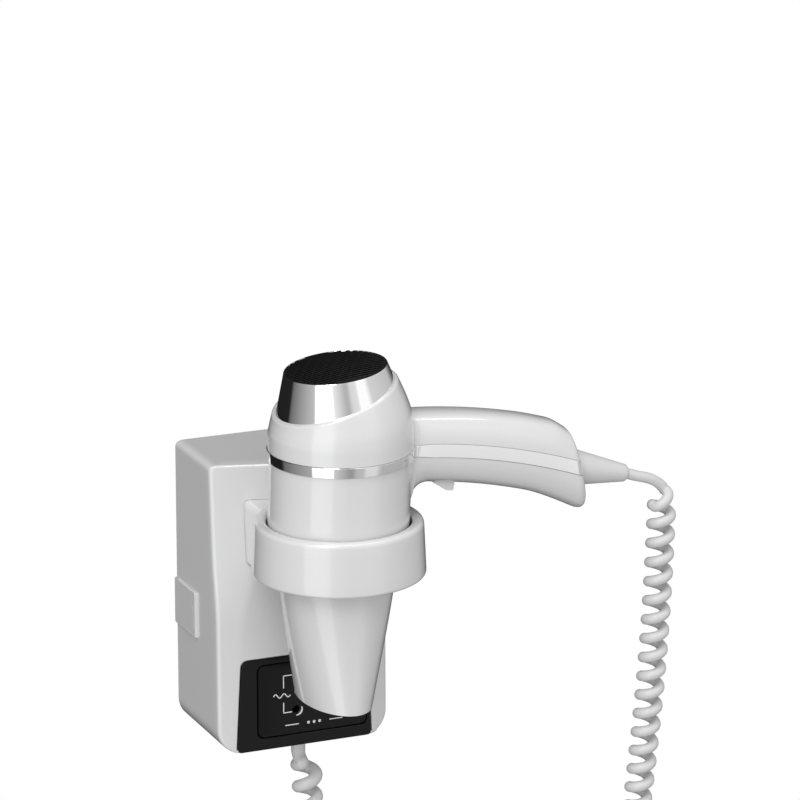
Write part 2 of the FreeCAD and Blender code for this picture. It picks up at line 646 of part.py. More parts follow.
def in_handle(shape, along, off=0.0):
    """Place a piece drawn at the origin (x along, z up) at a point of the handle's spine."""
    place, fall = spine(along, off)
    placed = shape.copy()
    placed.Placement = FreeCAD.Placement(place, FreeCAD.Rotation(Vec(0, 1, 0), math.degrees(fall)))
    return placed


def on_cap(outline):
    """A solid of revolution about the intake's tilted axis, from (radius, rise) points."""
    solid = revolved(outline, Vec(0, 0, 0))
    solid.Placement = cap_frame()
    return solid


def trigger_slot(gap):
    """The opening in the handle's underside that the trigger comes through."""
    half_l, half_w = TRIGGER_L / 2 + gap, TRIGGER_W / 2 + gap
    return in_handle(block(-half_l, half_l, -half_w, half_w, -40, -8), TRIGGER_AT)


def screw_post(along, low, high, radius):
    """A round post square to the spine."""
    return in_handle(rod(radius, Vec(0, 0, low), Vec(0, 0, high)), along)


def relief_axis(reach):
    """A point on the strain relief's axis, beyond the handle's end."""
    end, fall = spine(HANDLE_L, -RELIEF_LOW)[0], math.radians(RELIEF_FALL)
    return end + Vec(math.cos(fall), 0, -math.sin(fall)) * reach


def relief_hole():
    """The hole in the handle's end that the strain relief's neck passes through."""
    return rod(RELIEF_NECK_R + SEAM, relief_axis(-12.0), relief_axis(12.0))


def collar_room():
    """The room that the collar takes inside the shell's lip."""
    foot, crown = -COLLAR_FOOT - 1, CAP_H + 6
    return on_cap([(0, foot), (cap_radius(foot, False) + SEAM, foot), (cap_radius(crown, False) + SEAM, crown),
                   (0, crown)])


def rear_shell(walls):
    """The upper half of barrel and handle, with its screw posts."""
    shell = walls.common(above_split(BAND_HALF + SEAM)).cut(above_cap_split(0)).cut(collar_room())
    inside = body_solid(-SHELL / 2)
    for along in SHELL_SCREW_AT:
        post = screw_post(along, BAND_HALF + 1, HANDLE_HALF_H + 2, BOSS_R).common(inside)
        shell = shell.fuse(post).cut(screw_post(along, 0, 13, SHELL_SCREW_R + SCREW_GAP))
    return shell


def front_shell(walls):
    """The lower half of barrel and handle, with screw posts, the trigger's slot and the cord's exit."""
    shell = walls.cut(above_split(-BAND_HALF - SEAM))
    inside = body_solid(-SHELL / 2)
    for along in SHELL_SCREW_AT:
        post = screw_post(along, -HANDLE_HALF_H - 3, BAND_HALF, BOSS_R).common(inside)
        shell = shell.fuse(post).cut(screw_post(along, -40, 13, SHELL_SCREW_R + THROUGH_GAP))
        shell = shell.cut(screw_post(along, -40, -HANDLE_HALF_H + 8, SHELL_SCREW_R * 2 + THROUGH_GAP))
    return shell.cut(trigger_slot(EASE))


def trim_parts(proud):
    """The proud strip along the parting line: the ring round the barrel and a strip on each side of the handle."""
    slab = above_split(-BAND_HALF).cut(above_split(BAND_HALF))
    strip = proud.cut(body_solid(-SHELL)).common(slab)
    strip = strip.cut(rod(RELIEF_NECK_R + TRIM_CLEAR, relief_axis(-14.0), relief_axis(14.0)))
    cut_x = HANDLE_X - 1.0
    near = strip.common(block(-80, cut_x - SEAM / 2, AXIS_Y - 70, AXIS_Y + 70, 0, 200))
    far = strip.common(block(cut_x + SEAM / 2, 260, AXIS_Y - 70, AXIS_Y + 70, 0, 200))
    front, back = sorted(far.Solids, key=lambda piece: piece.CenterOfMass.y)
    return near, front, back


def inlet_collar():
    """The polished tapered collar, slanted where it meets the shell and open where the grille sits."""
    foot, skin = -COLLAR_FOOT, COLLAR_WALL
    outer = on_cap([(0, foot), (cap_radius(foot, False), foot), (cap_radius(CAP_H - 1, False), CAP_H - 1),
                    (cap_radius(CAP_H, False) - 0.8, CAP_H), (0, CAP_H)])
    inner = on_cap([(0, foot - 1), (cap_radius(foot - 1, False) - skin, foot - 1),
                    (cap_radius(CAP_H - GRILLE_DEEP, False) - skin - 1.0, CAP_H - GRILLE_DEEP), (grille_radius() + SEAM, CAP_H - GRILLE_DEEP),
                    (grille_radius() + SEAM, CAP_H + 1), (0, CAP_H + 1)])
    return outer.cut(inner).common(above_cap_split(COLLAR_SKIRT))


def grille_radius():
    """The grille's outer radius, inside the collar's rim."""
    return cap_radius(CAP_H, False) - 0.8 - GRILLE_RIM


def inlet_grille():
    """The slightly domed black grille, cut through by rows of slots with a rib across each row's middle."""
    radius, low = grille_radius(), CAP_H - GRILLE_DEEP + SEAM
    crown = CAP_H + GRILLE_DOME
    disc = on_cap([(0, low), (radius, low), (radius, CAP_H), (radius * 0.75, CAP_H + GRILLE_DOME * 0.45),
                   (radius * 0.4, crown - GRILLE_DOME * 0.15), (0, crown)])
    rows = int(radius / GRILLE_PITCH)
    slots = []
    for row in range(-rows + 1, rows):
        y = row * GRILLE_PITCH
        reach = math.sqrt((radius - 2.5) ** 2 - y ** 2)
        for x0, x1 in ((-reach, -1.0), (1.0, reach)):
            slot = block(x0, x1, y - GRILLE_SLOT / 2, y + GRILLE_SLOT / 2, low - 1, crown + 1)
            slot.Placement = cap_frame()
            slots.append(slot)
    return disc.cut(slots)


def filter_screen():
    """The thin screen under the grille."""
    rise = CAP_H - GRILLE_DEEP - SCREEN_DROP
    return on_cap([(0, rise), (cap_radius(rise, False) - COLLAR_WALL - 1.2, rise),
                   (cap_radius(rise, False) - COLLAR_WALL - 1.2, rise + SCREEN_T), (0, rise + SCREEN_T)])


# ---- handset: nozzle and outlet ----
def oval_wire(half_x, half_y, height):
    """An oval section of the nozzle."""
    curve = Part.BSplineCurve()
    curve.interpolate([Vec(half_x * math.cos(a), AXIS_Y + half_y * math.sin(a), height)
                       for a in (2 * math.pi * i / 24 for i in range(24))], True)
    return Part.Wire(curve.toShape())


def nozzle_form(grow, low, high):
    """The nozzle's outside, from round to oval."""
    wires = []
    for share in (0.0, 0.3, 0.65, 1.0):
        ease = share ** 1.15
        half_x = NOZZLE_R + (OUTLET_HALF_X - NOZZLE_R) * ease + grow
        half_y = NOZZLE_R + (OUTLET_HALF_Y - NOZZLE_R) * ease + grow
        wires.append(oval_wire(half_x, half_y, high + (low - high) * share))
    return Part.makeLoft(wires, True, False)


def concentrator_nozzle():
    """The nozzle with the sleeve that turns inside the barrel's end."""
    top = BARREL_LOW - EASE
    form = nozzle_form(0, NOZZLE_TIP, top)
    sleeve = SHOULDER_R - SHELL - EASE
    neck = rod(sleeve, AXIS + UP * (top - 1), AXIS + UP * (top + NOZZLE_NECK))
    hollow = nozzle_form(-NOZZLE_WALL, NOZZLE_TIP - 0.01, top)
    bore = rod(sleeve - NOZZLE_WALL, AXIS + UP * (top - 1.5), AXIS + UP * (top + NOZZLE_NECK + 1))
    return form.fuse(neck).cut(hollow).cut(bore)


def outlet_grille():
    """The guard across the barrel's outlet: rings on four spokes."""
    low, high = AXIS + UP * GUARD_Z, AXIS + UP * (GUARD_Z + GUARD_T)
    rings = [tube(GUARD_R * (i + 1) / GUARD_RINGS, GUARD_R * (i + 1) / GUARD_RINGS - 1.4, low, high)
             for i in range(GUARD_RINGS)]
    spokes = [block(-GUARD_R + 0.5, GUARD_R - 0.5, AXIS_Y - 0.6, AXIS_Y + 0.6, low.z, high.z),
              block(-0.6, 0.6, AXIS_Y - GUARD_R + 0.5, AXIS_Y + GUARD_R - 0.5, low.z, high.z)]
    return joined(rings + spokes)


# ---- handset: fan and heater ----
def motor():
    """The motor's can with the bore that its shaft runs in."""
    top = AXIS + UP * (MOTOR_Z + MOTOR_L)
    can = rod(MOTOR_R, AXIS + UP * MOTOR_Z, top)
    edge = [e for e in can.Edges if e.BoundBox.ZLength < 0.01]
    return can.makeFillet(1.2, edge).cut(rod(SHAFT_R + SHAFT_GAP, top - UP * (SHAFT_IN + 1), top + UP))


def motor_shaft():
    """The shaft, from inside the motor to the fan's hub."""
    top = AXIS + UP * (MOTOR_Z + MOTOR_L)
    return rod(SHAFT_R, top - UP * SHAFT_IN, top + UP * SHAFT_OUT)


def fan_impeller():
    """The axial fan: a hub and twisted blades."""
    low = MOTOR_Z + MOTOR_L + FAN_GAP
    hub = rod(FAN_HUB_R, AXIS + UP * low, AXIS + UP * (low + FAN_H))
    blades = []
    for i in range(FAN_BLADES):
        blade = block(0, FAN_R - FAN_HUB_R + 2, -BLADE_T / 2, BLADE_T / 2, -FAN_H * 0.55, FAN_H * 0.55)
        blade.rotate(Vec(0, 0, 0), EAST, BLADE_TURN)
        blade.translate(Vec(FAN_HUB_R - 2, AXIS_Y, low + FAN_H / 2))
        blade.rotate(AXIS, UP, 360 * i / FAN_BLADES)
        blades.append(blade)
    disc = rod(FAN_R, AXIS + UP * low, AXIS + UP * (low + FAN_H))
    wheel = joined([hub] + blades).common(disc)
    return wheel.cut(rod(SHAFT_R, AXIS + UP * (low - 1), AXIS + UP * (low + FAN_H + 1)))


def fan_shroud():
    """The duct round fan and motor, with guide vanes that carry the motor's cup."""
    low, high = AXIS + UP * SHROUD_LOW, AXIS + UP * SHROUD_TOP
    duct = tube(SHROUD_R, SHROUD_R - SHROUD_WALL, low, high)
    cup_top = AXIS + UP * (MOTOR_Z + MOTOR_L - 3)
    cup = tube(MOTOR_R + SCREW_GAP + SHROUD_WALL, MOTOR_R + SCREW_GAP, low, cup_top)
    vanes = []
    for i in range(VANES):
        vane = block(MOTOR_R + 1, SHROUD_R - SHROUD_WALL / 2, AXIS_Y - 0.6, AXIS_Y + 0.6, SHROUD_LOW + 2,
                     cup_top.z - 1)
        vane.rotate(AXIS, UP, 360 * i / VANES)
        vanes.append(vane)
    return joined([duct, cup] + vanes)


def heater_frame():
    """Two crossed mica plates."""
    plates = [block(-MICA_HALF_W, MICA_HALF_W, AXIS_Y - MICA_T / 2, AXIS_Y + MICA_T / 2, HEATER_LOW, HEATER_TOP),
              block(-MICA_T / 2, MICA_T / 2, AXIS_Y - MICA_HALF_W, AXIS_Y + MICA_HALF_W, HEATER_LOW, HEATER_TOP)]
    return joined(plates)


def heating_coils():
    """Turns of resistance wire round the crossed plates."""
    step = (HEATER_TOP - HEATER_LOW) / (COIL_TURNS + 1)
    radius = MICA_HALF_W + COIL_WIRE + SCREW_GAP
    return group([torus(radius, COIL_WIRE, AXIS + UP * (HEATER_LOW + step * (i + 1))) for i in range(COIL_TURNS)])


def heater_sleeve():
    """The mica tube that keeps the heat off the barrel."""
    return tube(HEATER_R, HEATER_R - HEATER_WALL, AXIS + UP * HEATER_LOW, AXIS + UP * HEATER_TOP)


def thermostat():
    """The cut-out between heater and motor."""
    low = HEATER_TOP + SEAM
    body = rod(4.5, AXIS + UP * low, AXIS + UP * (low + 2.6))
    return body.fuse(block(-7, 7, AXIS_Y - 1.5, AXIS_Y + 1.5, low, low + 1.0))


# ---- handset: handle pieces ----
def trigger():
    """The push trigger: a wedge outside, a flange inside and a stem for its spring."""
    outside, inner = -HANDLE_HALF_H - TRIGGER_OUT, -HANDLE_HALF_H + SHELL + EASE
    half_l, half_w = TRIGGER_L / 2, TRIGGER_W / 2
    key = block(-half_l, half_l, -half_w, half_w, outside, inner + 1)
    ramp = [Vec(-half_l - 1, -half_w - 1, -HANDLE_HALF_H), Vec(half_l * 0.3, -half_w - 1, outside - 0.01),
            Vec(-half_l - 1, -half_w - 1, outside - 0.01)]
    key = key.cut(Part.Face(Part.makePolygon(ramp + ramp[:1])).extrude(Vec(0, TRIGGER_W + 2, 0)))
    flange = block(-half_l - 1.5, half_l + 1.5, -half_w + 1.2, half_w - 1.2, inner, inner + 1.4)
    stem = rod(SPRING_R - SPRING_WIRE - EASE, Vec(0, 0, inner), Vec(0, 0, inner + 3.0))
    return in_handle(joined([key, flange, stem]), TRIGGER_AT)


def trigger_spring():
    """The trigger's return spring, as the tube that its turns fill."""
    low = -HANDLE_HALF_H + SHELL + EASE + 1.4 + EASE / 2
    return in_handle(tube(SPRING_R, SPRING_R - SPRING_WIRE, Vec(0, 0, low), Vec(0, 0, -7.2)), TRIGGER_AT)


def microswitch():
    """The switch above the trigger, on a bracket across the handle."""
    body = block(-9, 9, -5, 5, -7.0, 3.0)
    wings = block(-5, 5, -HANDLE_HALF_W + SHELL + 1.0, HANDLE_HALF_W - SHELL - 1.0, -3, -1)
    return in_handle(joined([body, wings]), TRIGGER_AT)


def control_board():
    """The suppressor and diode board, with its components."""
    board = block(-BOARD_L / 2, BOARD_L / 2, -BOARD_W / 2, BOARD_W / 2, 0, BOARD_T)
    parts = [block(-10, -2, -6, 6, BOARD_T, BOARD_T + 7), rod(2.5, Vec(5, -5, BOARD_T), Vec(5, -5, BOARD_T + 8)),
             rod(2.5, Vec(5, 5, BOARD_T), Vec(5, 5, BOARD_T + 8))]
    return in_handle(joined([board] + parts), BOARD_AT, 1.0)


def cable_clamp():
    """The saddle that grips the cord inside the handle's end."""
    low = -RELIEF_LOW
    body = block(-CLAMP_L / 2, CLAMP_L / 2, -CLAMP_W / 2, CLAMP_W / 2, low - CLAMP_H, low + CLAMP_H)
    body = body.cut(rod(CORD_D / 2 + SCREW_GAP, Vec(-CLAMP_L, 0, low), Vec(CLAMP_L, 0, low)))
    for y in (-CLAMP_W / 3, CLAMP_W / 3):
        body = body.cut(rod(SHELL_SCREW_R + SCREW_GAP, Vec(0, y, low - CLAMP_H - 1), Vec(0, y, low + CLAMP_H + 1)))
    return in_handle(body, CLAMP_AT)


def clamp_screws():
    """Two screws through the saddle."""
    top = -RELIEF_LOW + CLAMP_H
    screws = [rod(SHELL_SCREW_R, Vec(0, y, top - 2 * CLAMP_H), Vec(0, y, top + 0.5)).fuse(
        rod(SHELL_SCREW_R * 1.8, Vec(0, y, top + 0.05), Vec(0, y, top + 1.6))) for y in (-CLAMP_W / 3, CLAMP_W / 3)]
    return in_handle(group(screws), CLAMP_AT)


def shell_screws():
    """Screws from the underside that hold the handle's halves together."""
    seat = -HANDLE_HALF_H + 8
    return group([in_handle(rod(SHELL_SCREW_R, Vec(0, 0, seat - 1), Vec(0, 0, 12)).fuse(
        rod(SHELL_SCREW_R * 2, Vec(0, 0, seat - 2.2), Vec(0, 0, seat - SCREW_GAP))), along)
        for along in SHELL_SCREW_AT])


def inner_wires():
    """The cord's tail through the saddle, and two leads on to the switch."""
    low = -RELIEF_LOW
    tail = in_handle(rod(CORD_D / 2, Vec(-CLAMP_L / 2 - 2, 0, low), Vec(CLAMP_L / 2 + 1.5, 0, low)), CLAMP_AT)
    middle = CLAMP_AT - 14.0
    leads = [in_handle(rod(1.1, Vec(-40, y, low), Vec(6, y, low)), middle) for y in (-6.0, 6.0)]
    return group([tail] + leads)


def handle_strain_relief(proud):
    """The tapered sleeve at the handle's end, with a neck through the end wall."""
    root, tip = relief_axis(-6.0), relief_axis(RELIEF_L)
    along = (tip - root).normalize()
    cone = Part.makeCone(RELIEF_R, RELIEF_TIP_R, (tip - root).Length, root, along).cut(proud)
    cone = max(cone.Solids, key=lambda piece: piece.Volume)
    neck = rod(RELIEF_NECK_R, relief_axis(-SHELL - 3.5), relief_axis(3.0))
    body = cone.fuse(neck)
    return body.cut(rod(CORD_D / 2, relief_axis(-20.0), relief_axis(RELIEF_L + 1)))


# ---- cord ----
def cord_path(route, label):
    """Straight runs joined by tangent arcs as large as the runs allow."""
    points = [Vec(*p) for p in route]
    edges, at, radii = [], points[0], []
    for before, corner, after in zip(points, points[1:], points[2:]):
        into, out = (corner - before), (after - corner)
        half_turn = into.getAngle(out) / 2
        trim = 0.45 * min(into.Length, out.Length)
        radii.append(trim / math.tan(half_turn))
        into.normalize()
        out.normalize()
        start, end = corner - into * trim, corner + out * trim
        inward = (out - into).normalize()
        middle = corner + inward * (radii[-1] / math.cos(half_turn) - radii[-1])
        edges += [Part.makeLine(at, start), Part.Arc(start, middle, end).toShape()]
        at = end
    edges.append(Part.makeLine(at, points[-1]))
    print(label, "radii", [round(r) for r in radii])
    return Part.Wire(edges)


def cord_tube(route, diameter, label):
    """A plain tube along a route, its volume compared with section times length."""
    path = cord_path(route, label)
    start = path.Edges[0]
    ring = circle_wire(diameter / 2, start.valueAt(start.FirstParameter), start.tangentAt(start.FirstParameter))
    solid = path.makePipeShell([ring], True, False)
    print(label, "length", round(path.Length), "volume ratio",
          round(solid.Volume / (math.pi * diameter ** 2 / 4 * path.Length), 4))
    return solid


def lead_route():
    """The lead's route, started at the strain relief's tip as it hangs."""
    tip = lean(Part.Vertex(relief_axis(RELIEF_L))).Point
    return [tuple(tip)] + LEAD_ROUTE


def wall_lead():
    """The short straight stretch from the gland to the coil."""
    top = Vec(GLAND_AT.x, GLAND_AT.y, -UNIT_H / 2 - GLAND_OUT)
    return rod(CORD_D / 2, top, Vec(top.x, top.y, COIL_WALL_ROUTE[-1][2] + EASE))


# ---- build ----
def main():
    """Write every node."""
    for node, make in (("wall_plate", wall_plate), ("wall_housing", wall_housing), ("housing_screw", housing_screw),
                       ("socket_panel", socket_panel), ("socket_insert", socket_insert),
                       ("socket_contacts", socket_contacts), ("socket_bracket", socket_bracket),
                       ("transformer_core", transformer_core), ("transformer_winding", transformer_winding),
                       ("terminal_block", terminal_block), ("terminal_screws", terminal_screws),
                       ("wall_gland", wall_gland), ("holder_ring", holder_ring), ("ring_screws", ring_screws)):
        save(make(), node)
    outer = body_solid(0)
    walls = outer.cut(body_solid(-SHELL))
    walls = walls.cut(relief_hole())
    proud = body_solid(BAND_PROUD)
    save(lean(rear_shell(walls)), "rear_shell")
    save(lean(front_shell(walls)), "front_shell")
    for piece, node in zip(trim_parts(proud), ("trim_band", "handle_trim_front", "handle_trim_back")):
        save(lean(piece), node)
    save(lean(handle_strain_relief(proud)), "handle_strain_relief")
    for node, make in (("inlet_collar", inlet_collar), ("inlet_grille", inlet_grille),
                       ("filter_screen", filter_screen), ("concentrator_nozzle", concentrator_nozzle),
                       ("outlet_grille", outlet_grille), ("motor", motor), ("motor_shaft", motor_shaft),
                       ("fan_impeller", fan_impeller), ("fan_shroud", fan_shroud), ("heater_frame", heater_frame),
                       ("heating_coils", heating_coils), ("heater_sleeve", heater_sleeve),
                       ("thermostat", thermostat), ("trigger", trigger), ("trigger_spring", trigger_spring),
                       ("microswitch", microswitch), ("control_board", control_board),
                       ("cable_clamp", cable_clamp), ("clamp_screws", clamp_screws),
                       ("shell_screws", shell_screws), ("inner_wires", inner_wires)):
        save(lean(make()), node)
    save(cord_tube(lead_route(), CORD_D, "cord_handset_lead"), "cord_handset_lead")
    save(cord_tube(COIL_HANDSET_ROUTE, COIL_D, "cord_coil_handset"), "cord_coil_handset")
    save(cord_tube(COIL_WALL_ROUTE, COIL_D, "cord_coil_wall"), "cord_coil_wall")
    save(wall_lead(), "cord_wall_lead")


main()
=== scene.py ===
"""Looks of the wall-mounted hair dryer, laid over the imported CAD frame.

Functions work in millimetres in the CAD frame; a mesh is turned to metres when it is made. The handset is
drawn upright and leaned, as in the CAD source, and the sizes below repeat that source.
"""

import json
import math

import bmesh
import bpy
import numpy as np
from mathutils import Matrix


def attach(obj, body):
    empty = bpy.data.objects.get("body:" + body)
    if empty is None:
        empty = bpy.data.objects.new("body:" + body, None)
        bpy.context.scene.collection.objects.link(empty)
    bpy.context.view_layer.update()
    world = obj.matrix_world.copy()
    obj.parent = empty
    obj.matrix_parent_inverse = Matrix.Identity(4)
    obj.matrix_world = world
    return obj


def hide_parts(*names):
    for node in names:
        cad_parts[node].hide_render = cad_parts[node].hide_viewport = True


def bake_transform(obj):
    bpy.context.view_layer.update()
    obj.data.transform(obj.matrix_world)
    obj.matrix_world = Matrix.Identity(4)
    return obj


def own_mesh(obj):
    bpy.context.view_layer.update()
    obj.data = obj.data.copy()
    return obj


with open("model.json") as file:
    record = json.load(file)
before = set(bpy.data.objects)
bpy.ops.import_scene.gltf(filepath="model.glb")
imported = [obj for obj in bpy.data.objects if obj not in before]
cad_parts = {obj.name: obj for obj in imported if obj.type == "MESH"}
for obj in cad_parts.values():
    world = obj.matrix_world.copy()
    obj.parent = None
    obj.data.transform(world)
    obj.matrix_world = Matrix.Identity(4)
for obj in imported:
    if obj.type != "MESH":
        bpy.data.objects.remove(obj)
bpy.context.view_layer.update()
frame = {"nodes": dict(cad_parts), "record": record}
MM = 0.001

# ---- sizes repeated from the CAD source ----
UNIT_W, UNIT_H, UNIT_WALL, FRONT = 100.0, 163.0, 2.4, 64.2
CORNER_LOW, CORNER_TOP = 13.0, 3.5
SECTION_AT = [-0.5, -0.05, 0.18, 0.5]
SECTION_SIDE = [61.6, 61.0, 55.8, 51.7]
SECTION_BACK = [0.0, 0.0, 0.2, 0.9]
SECTION_FLAT = [41.0, 36.5, 26.0, 12.0]
PAD_D, PAD_H, PAD_Z, PAD_PROUD = 30.5, 25.5, -10.5, 1.4
AXIS_Y = -114.3
LEAN, LEAN_Z = math.radians(2.0), 70.0
SHELL, SEAM = 2.2, 0.15
TILT = math.radians(8.3)
CAP_Z, CAP_H = 118.0, 30.5
SPLIT_Z, SPLIT_SLOPE = 134.4, 0.355
BAND_HALF, BAND_PROUD = 2.9, 0.5
HANDLE_X, HANDLE_Z, HANDLE_ARC, HANDLE_L = 40.0, 102.5, 360.0, 100.0
FALL = math.radians(3.0)
HALF_H, HALF_W, ROUND = 20.3, 15.8, 2.6
END_REACH, END_ROUND, HEEL = 7.5, 3.6, 3.4
END_SLANT, SLANT_FROM = 0.667, 60.0
RELIEF_L, RELIEF_LOW, RELIEF_FALL = 33.0, 2.8, math.radians(11.0)
STRIP_HALF = 3.7
TRIGGER_AT, TRIGGER_HALF_L, TRIGGER_HALF_W = 21.0, 6.0, 5.5
EASE = 0.3
NOZZLE_R, NOZZLE_TIP, NOZZLE_TOP = 30.9, -37.0, 27.7
OUTLET_X, OUTLET_Y = 18.5, 32.0
CORD_D, COIL_D = 6.0, 16.4
GLAND = (4.0, -44.0, -94.0)
LEAD = [(177.3, -114.3, 66.2), (184.0, -114.3, 62.1), (189.0, -114.3, 56.4), (191.7, -114.2, 49.2)]
COIL = [(191.9, -114.2, 47.9), (190.4, -113.9, 0.0), (187.4, -113.0, -55.0), (182.6, -111.3, -112.0),
        (177.5, -109.4, -165.0), (160.0, -102.8, -218.0), (122.0, -88.3, -250.0), (72.0, -69.2, -252.0),
        (30.0, -53.2, -222.0), (14.5, -47.3, -176.0), (9.4, -45.3, -138.0), (8.8, -44.0, -100.0)]


# ---- arrays and meshes ----
def smooth(at, xs, ys):
    """A curve through stations: cubic between neighbours, slopes by harmonic mean so that it never overshoots."""
    at, xs, ys = np.asarray(at, float), np.asarray(xs, float), np.asarray(ys, float)
    step = np.diff(xs)
    rise = np.diff(ys) / step
    slope = np.zeros_like(ys)
    same = rise[:-1] * rise[1:] > 0
    near, far = np.where(same, rise[:-1], 1.0), np.where(same, rise[1:], 1.0)
    slope[1:-1] = np.where(same, 2 * near * far / (near + far), 0.0)
    slope[0], slope[-1] = rise[0], rise[-1]
    i = np.clip(np.searchsorted(xs, at, side="right") - 1, 0, len(xs) - 2)
    h = step[i]
    t = np.clip((at - xs[i]) / h, 0, 1)
    return ((1 + 2 * t) * (1 - t) ** 2 * ys[i] + t * (1 - t) ** 2 * h * slope[i]
            + t ** 2 * (3 - 2 * t) * ys[i + 1] + t ** 2 * (t - 1) * h * slope[i + 1])


def stacked(x, y, z):
    """One array of points from three arrays of coordinates that broadcast together."""
    return np.stack(np.broadcast_arrays(x, y, z), -1).astype(float)


def lean(points):
    """Upright handset points turned about the cross axis into the pose in which the handset hangs."""
    x, y, z = np.moveaxis(np.asarray(points, float), -1, 0)
    c, s = math.cos(LEAN), math.sin(LEAN)
    return stacked(x * c + (z - LEAN_Z) * s, y, LEAN_Z - x * s + (z - LEAN_Z) * c)


def quads(rows, cols, wrap_rows=False, wrap_cols=False, start=0):
    """Faces of a grid of points as an array of four indices each."""
    index = np.arange(rows * cols).reshape(rows, cols) + start
    if wrap_rows:
        index = np.vstack([index, index[:1]])
    if wrap_cols:
        index = np.hstack([index, index[:, :1]])
    return np.stack([index[:-1, :-1], index[:-1, 1:], index[1:, 1:], index[1:, :-1]], -1).reshape(-1, 4)


def sheet(outer, inner, keep=None, wrap=False):
    """A wall of some thickness: an outer and an inner grid, joined by strips along every open edge."""
    rows, cols = outer.shape[:2]
    faces = quads(rows, cols, wrap_cols=wrap)
    if keep is not None:
        faces = faces[keep.ravel()]
    total = rows * cols
    edges = np.concatenate([faces[:, [k, (k + 1) % 4]] for k in range(4)])
    rim = edges[~np.isin(edges[:, 0] * total + edges[:, 1], edges[:, 1] * total + edges[:, 0])]
    sides = np.stack([rim[:, 1], rim[:, 0], rim[:, 0] + total, rim[:, 1] + total], -1)
    points = np.concatenate([outer.reshape(-1, 3), inner.reshape(-1, 3)])
    return points, np.concatenate([faces, faces[:, ::-1] + total, sides]).tolist()


def solid(grid, wrap_rows=False):
    """A closed body: rows of loops joined end to end, or capped at both ends."""
    rows, cols = grid.shape[:2]
    faces = quads(rows, cols, wrap_rows=wrap_rows, wrap_cols=True).tolist()
    if not wrap_rows:
        faces += [list(range(cols))[::-1], list(range((rows - 1) * cols, rows * cols))]
    return grid.reshape(-1, 3), faces


def merged(parts):
    """Several (points, faces) pairs as one."""
    points, faces, start = [], [], 0
    for part_points, part_faces in parts:
        faces += [[i + start for i in face] for face in part_faces]
        points.append(part_points)
        start += len(part_points)
    return np.concatenate(points), faces


def rounded(points, trims, closed=True, arc=6, side=2):
    """Corners of an outline eased by quadratic curves that start a trim length before each corner."""
    points = np.asarray(points, float)
    trims = np.asarray(trims, float)[..., None]

    def toward(other):
        gap = other - points
        return points + gap / np.maximum(np.linalg.norm(gap, axis=-1, keepdims=True), 1e-9) * trims

    a, b = toward(np.roll(points, 1, -2)), toward(np.roll(points, -1, -2))
    t = np.linspace(0, 1, arc)[:, None]
    bend = ((1 - t) ** 2 * a[..., None, :] + 2 * t * (1 - t) * points[..., None, :] + t ** 2 * b[..., None, :])
    s = np.linspace(0, 1, side + 2)[1:-1, None]
    run = b[..., None, :] * (1 - s) + np.roll(a, -1, -2)[..., None, :] * s
    flat = np.concatenate([bend, run], -2).reshape(points.shape[:-2] + (-1, 2))
    return flat if closed else flat[..., arc - 1:flat.shape[-2] - side - arc + 1, :]


def lathe(profile, origin, axis=(0, 0, 1), turns=96):
    """Rows of circles about an axis, one for each (radius, reach) of the profile."""
    axis = np.asarray(axis, float) / np.linalg.norm(axis)
    side = np.cross(axis, (0, 1, 0) if abs(axis[1]) < 0.9 else (1, 0, 0))
    side /= np.linalg.norm(side)
    up = np.cross(axis, side)
    angle = np.linspace(0, 2 * math.pi, turns, endpoint=False)[None, :, None]
    r, h = np.asarray(profile, float).T[:, :, None, None]
    return np.asarray(origin, float) + r * (np.cos(angle) * side + np.sin(angle) * up) + h * axis


def fresh(name, points, faces):
    """An object at the origin with outward faces, its doubled points merged."""
    name = name.replace(" ", "-")
    mesh = bpy.data.meshes.new(name)
    mesh.from_pydata((np.asarray(points) * MM).tolist(), [], faces)
    tidy = bmesh.new()
    tidy.from_mesh(mesh)
    bmesh.ops.remove_doubles(tidy, verts=tidy.verts, dist=1e-6)
    bmesh.ops.recalc_face_normals(tidy, faces=tidy.faces)
    if tidy.calc_volume(signed=True) < 0:
        bmesh.ops.reverse_faces(tidy, faces=tidy.faces)
    tidy.to_mesh(mesh)
    tidy.free()
    obj = bpy.data.objects.new(name, mesh)
    bpy.context.scene.collection.objects.link(obj)
    return obj


def cut(obj, cutters):
    """Takes closed shapes out of an object and keeps the result as its mesh."""
    for number, (points, faces) in enumerate(cutters):
        tool = fresh(f"{obj.name} tool {number}", points, faces)
        step = obj.modifiers.new("cut", "BOOLEAN")
        step.object, step.operation, step.solver = tool, "DIFFERENCE", "EXACT"
        seen = obj.evaluated_get(bpy.context.evaluated_depsgraph_get())
        mesh = bpy.data.meshes.new_from_object(seen)
        obj.modifiers.remove(step)
        obj.data = mesh
        bpy.data.objects.remove(tool)
    return obj


def show(obj, material, body, nodes=(), bevel=0.0, angle=32.0):
    """Finishes a piece: smooth faces, eased edges, material, the body that it rides on and the nodes it replaces."""
    obj.data.shade_smooth()
    if bevel:
        edge = obj.modifiers.new("edge", "BEVEL")
        edge.width, edge.segments, edge.limit_method = bevel * MM, 2, "ANGLE"
        edge.angle_limit, edge.harden_normals = math.radians(angle), True
    else:
        obj.data.set_sharp_from_angle(angle=math.radians(angle))
    obj.data.materials.clear()
    obj.data.materials.append(MATERIALS[material])
    if body:
        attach(obj, body)
    if nodes:
        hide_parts(*nodes)
    return obj


# ---- materials ----
def node(tree, kind, inputs=(), **settings):
    """A shader node with its settings and input values or links."""
    made = tree.nodes.new(kind)
    for key, value in settings.items():
        setattr(made, key, value)
    for key, value in dict(inputs).items():
        if isinstance(value, bpy.types.NodeSocket):
            tree.links.new(value, made.inputs[key])
        else:
            made.inputs[key].default_value = value
    return made


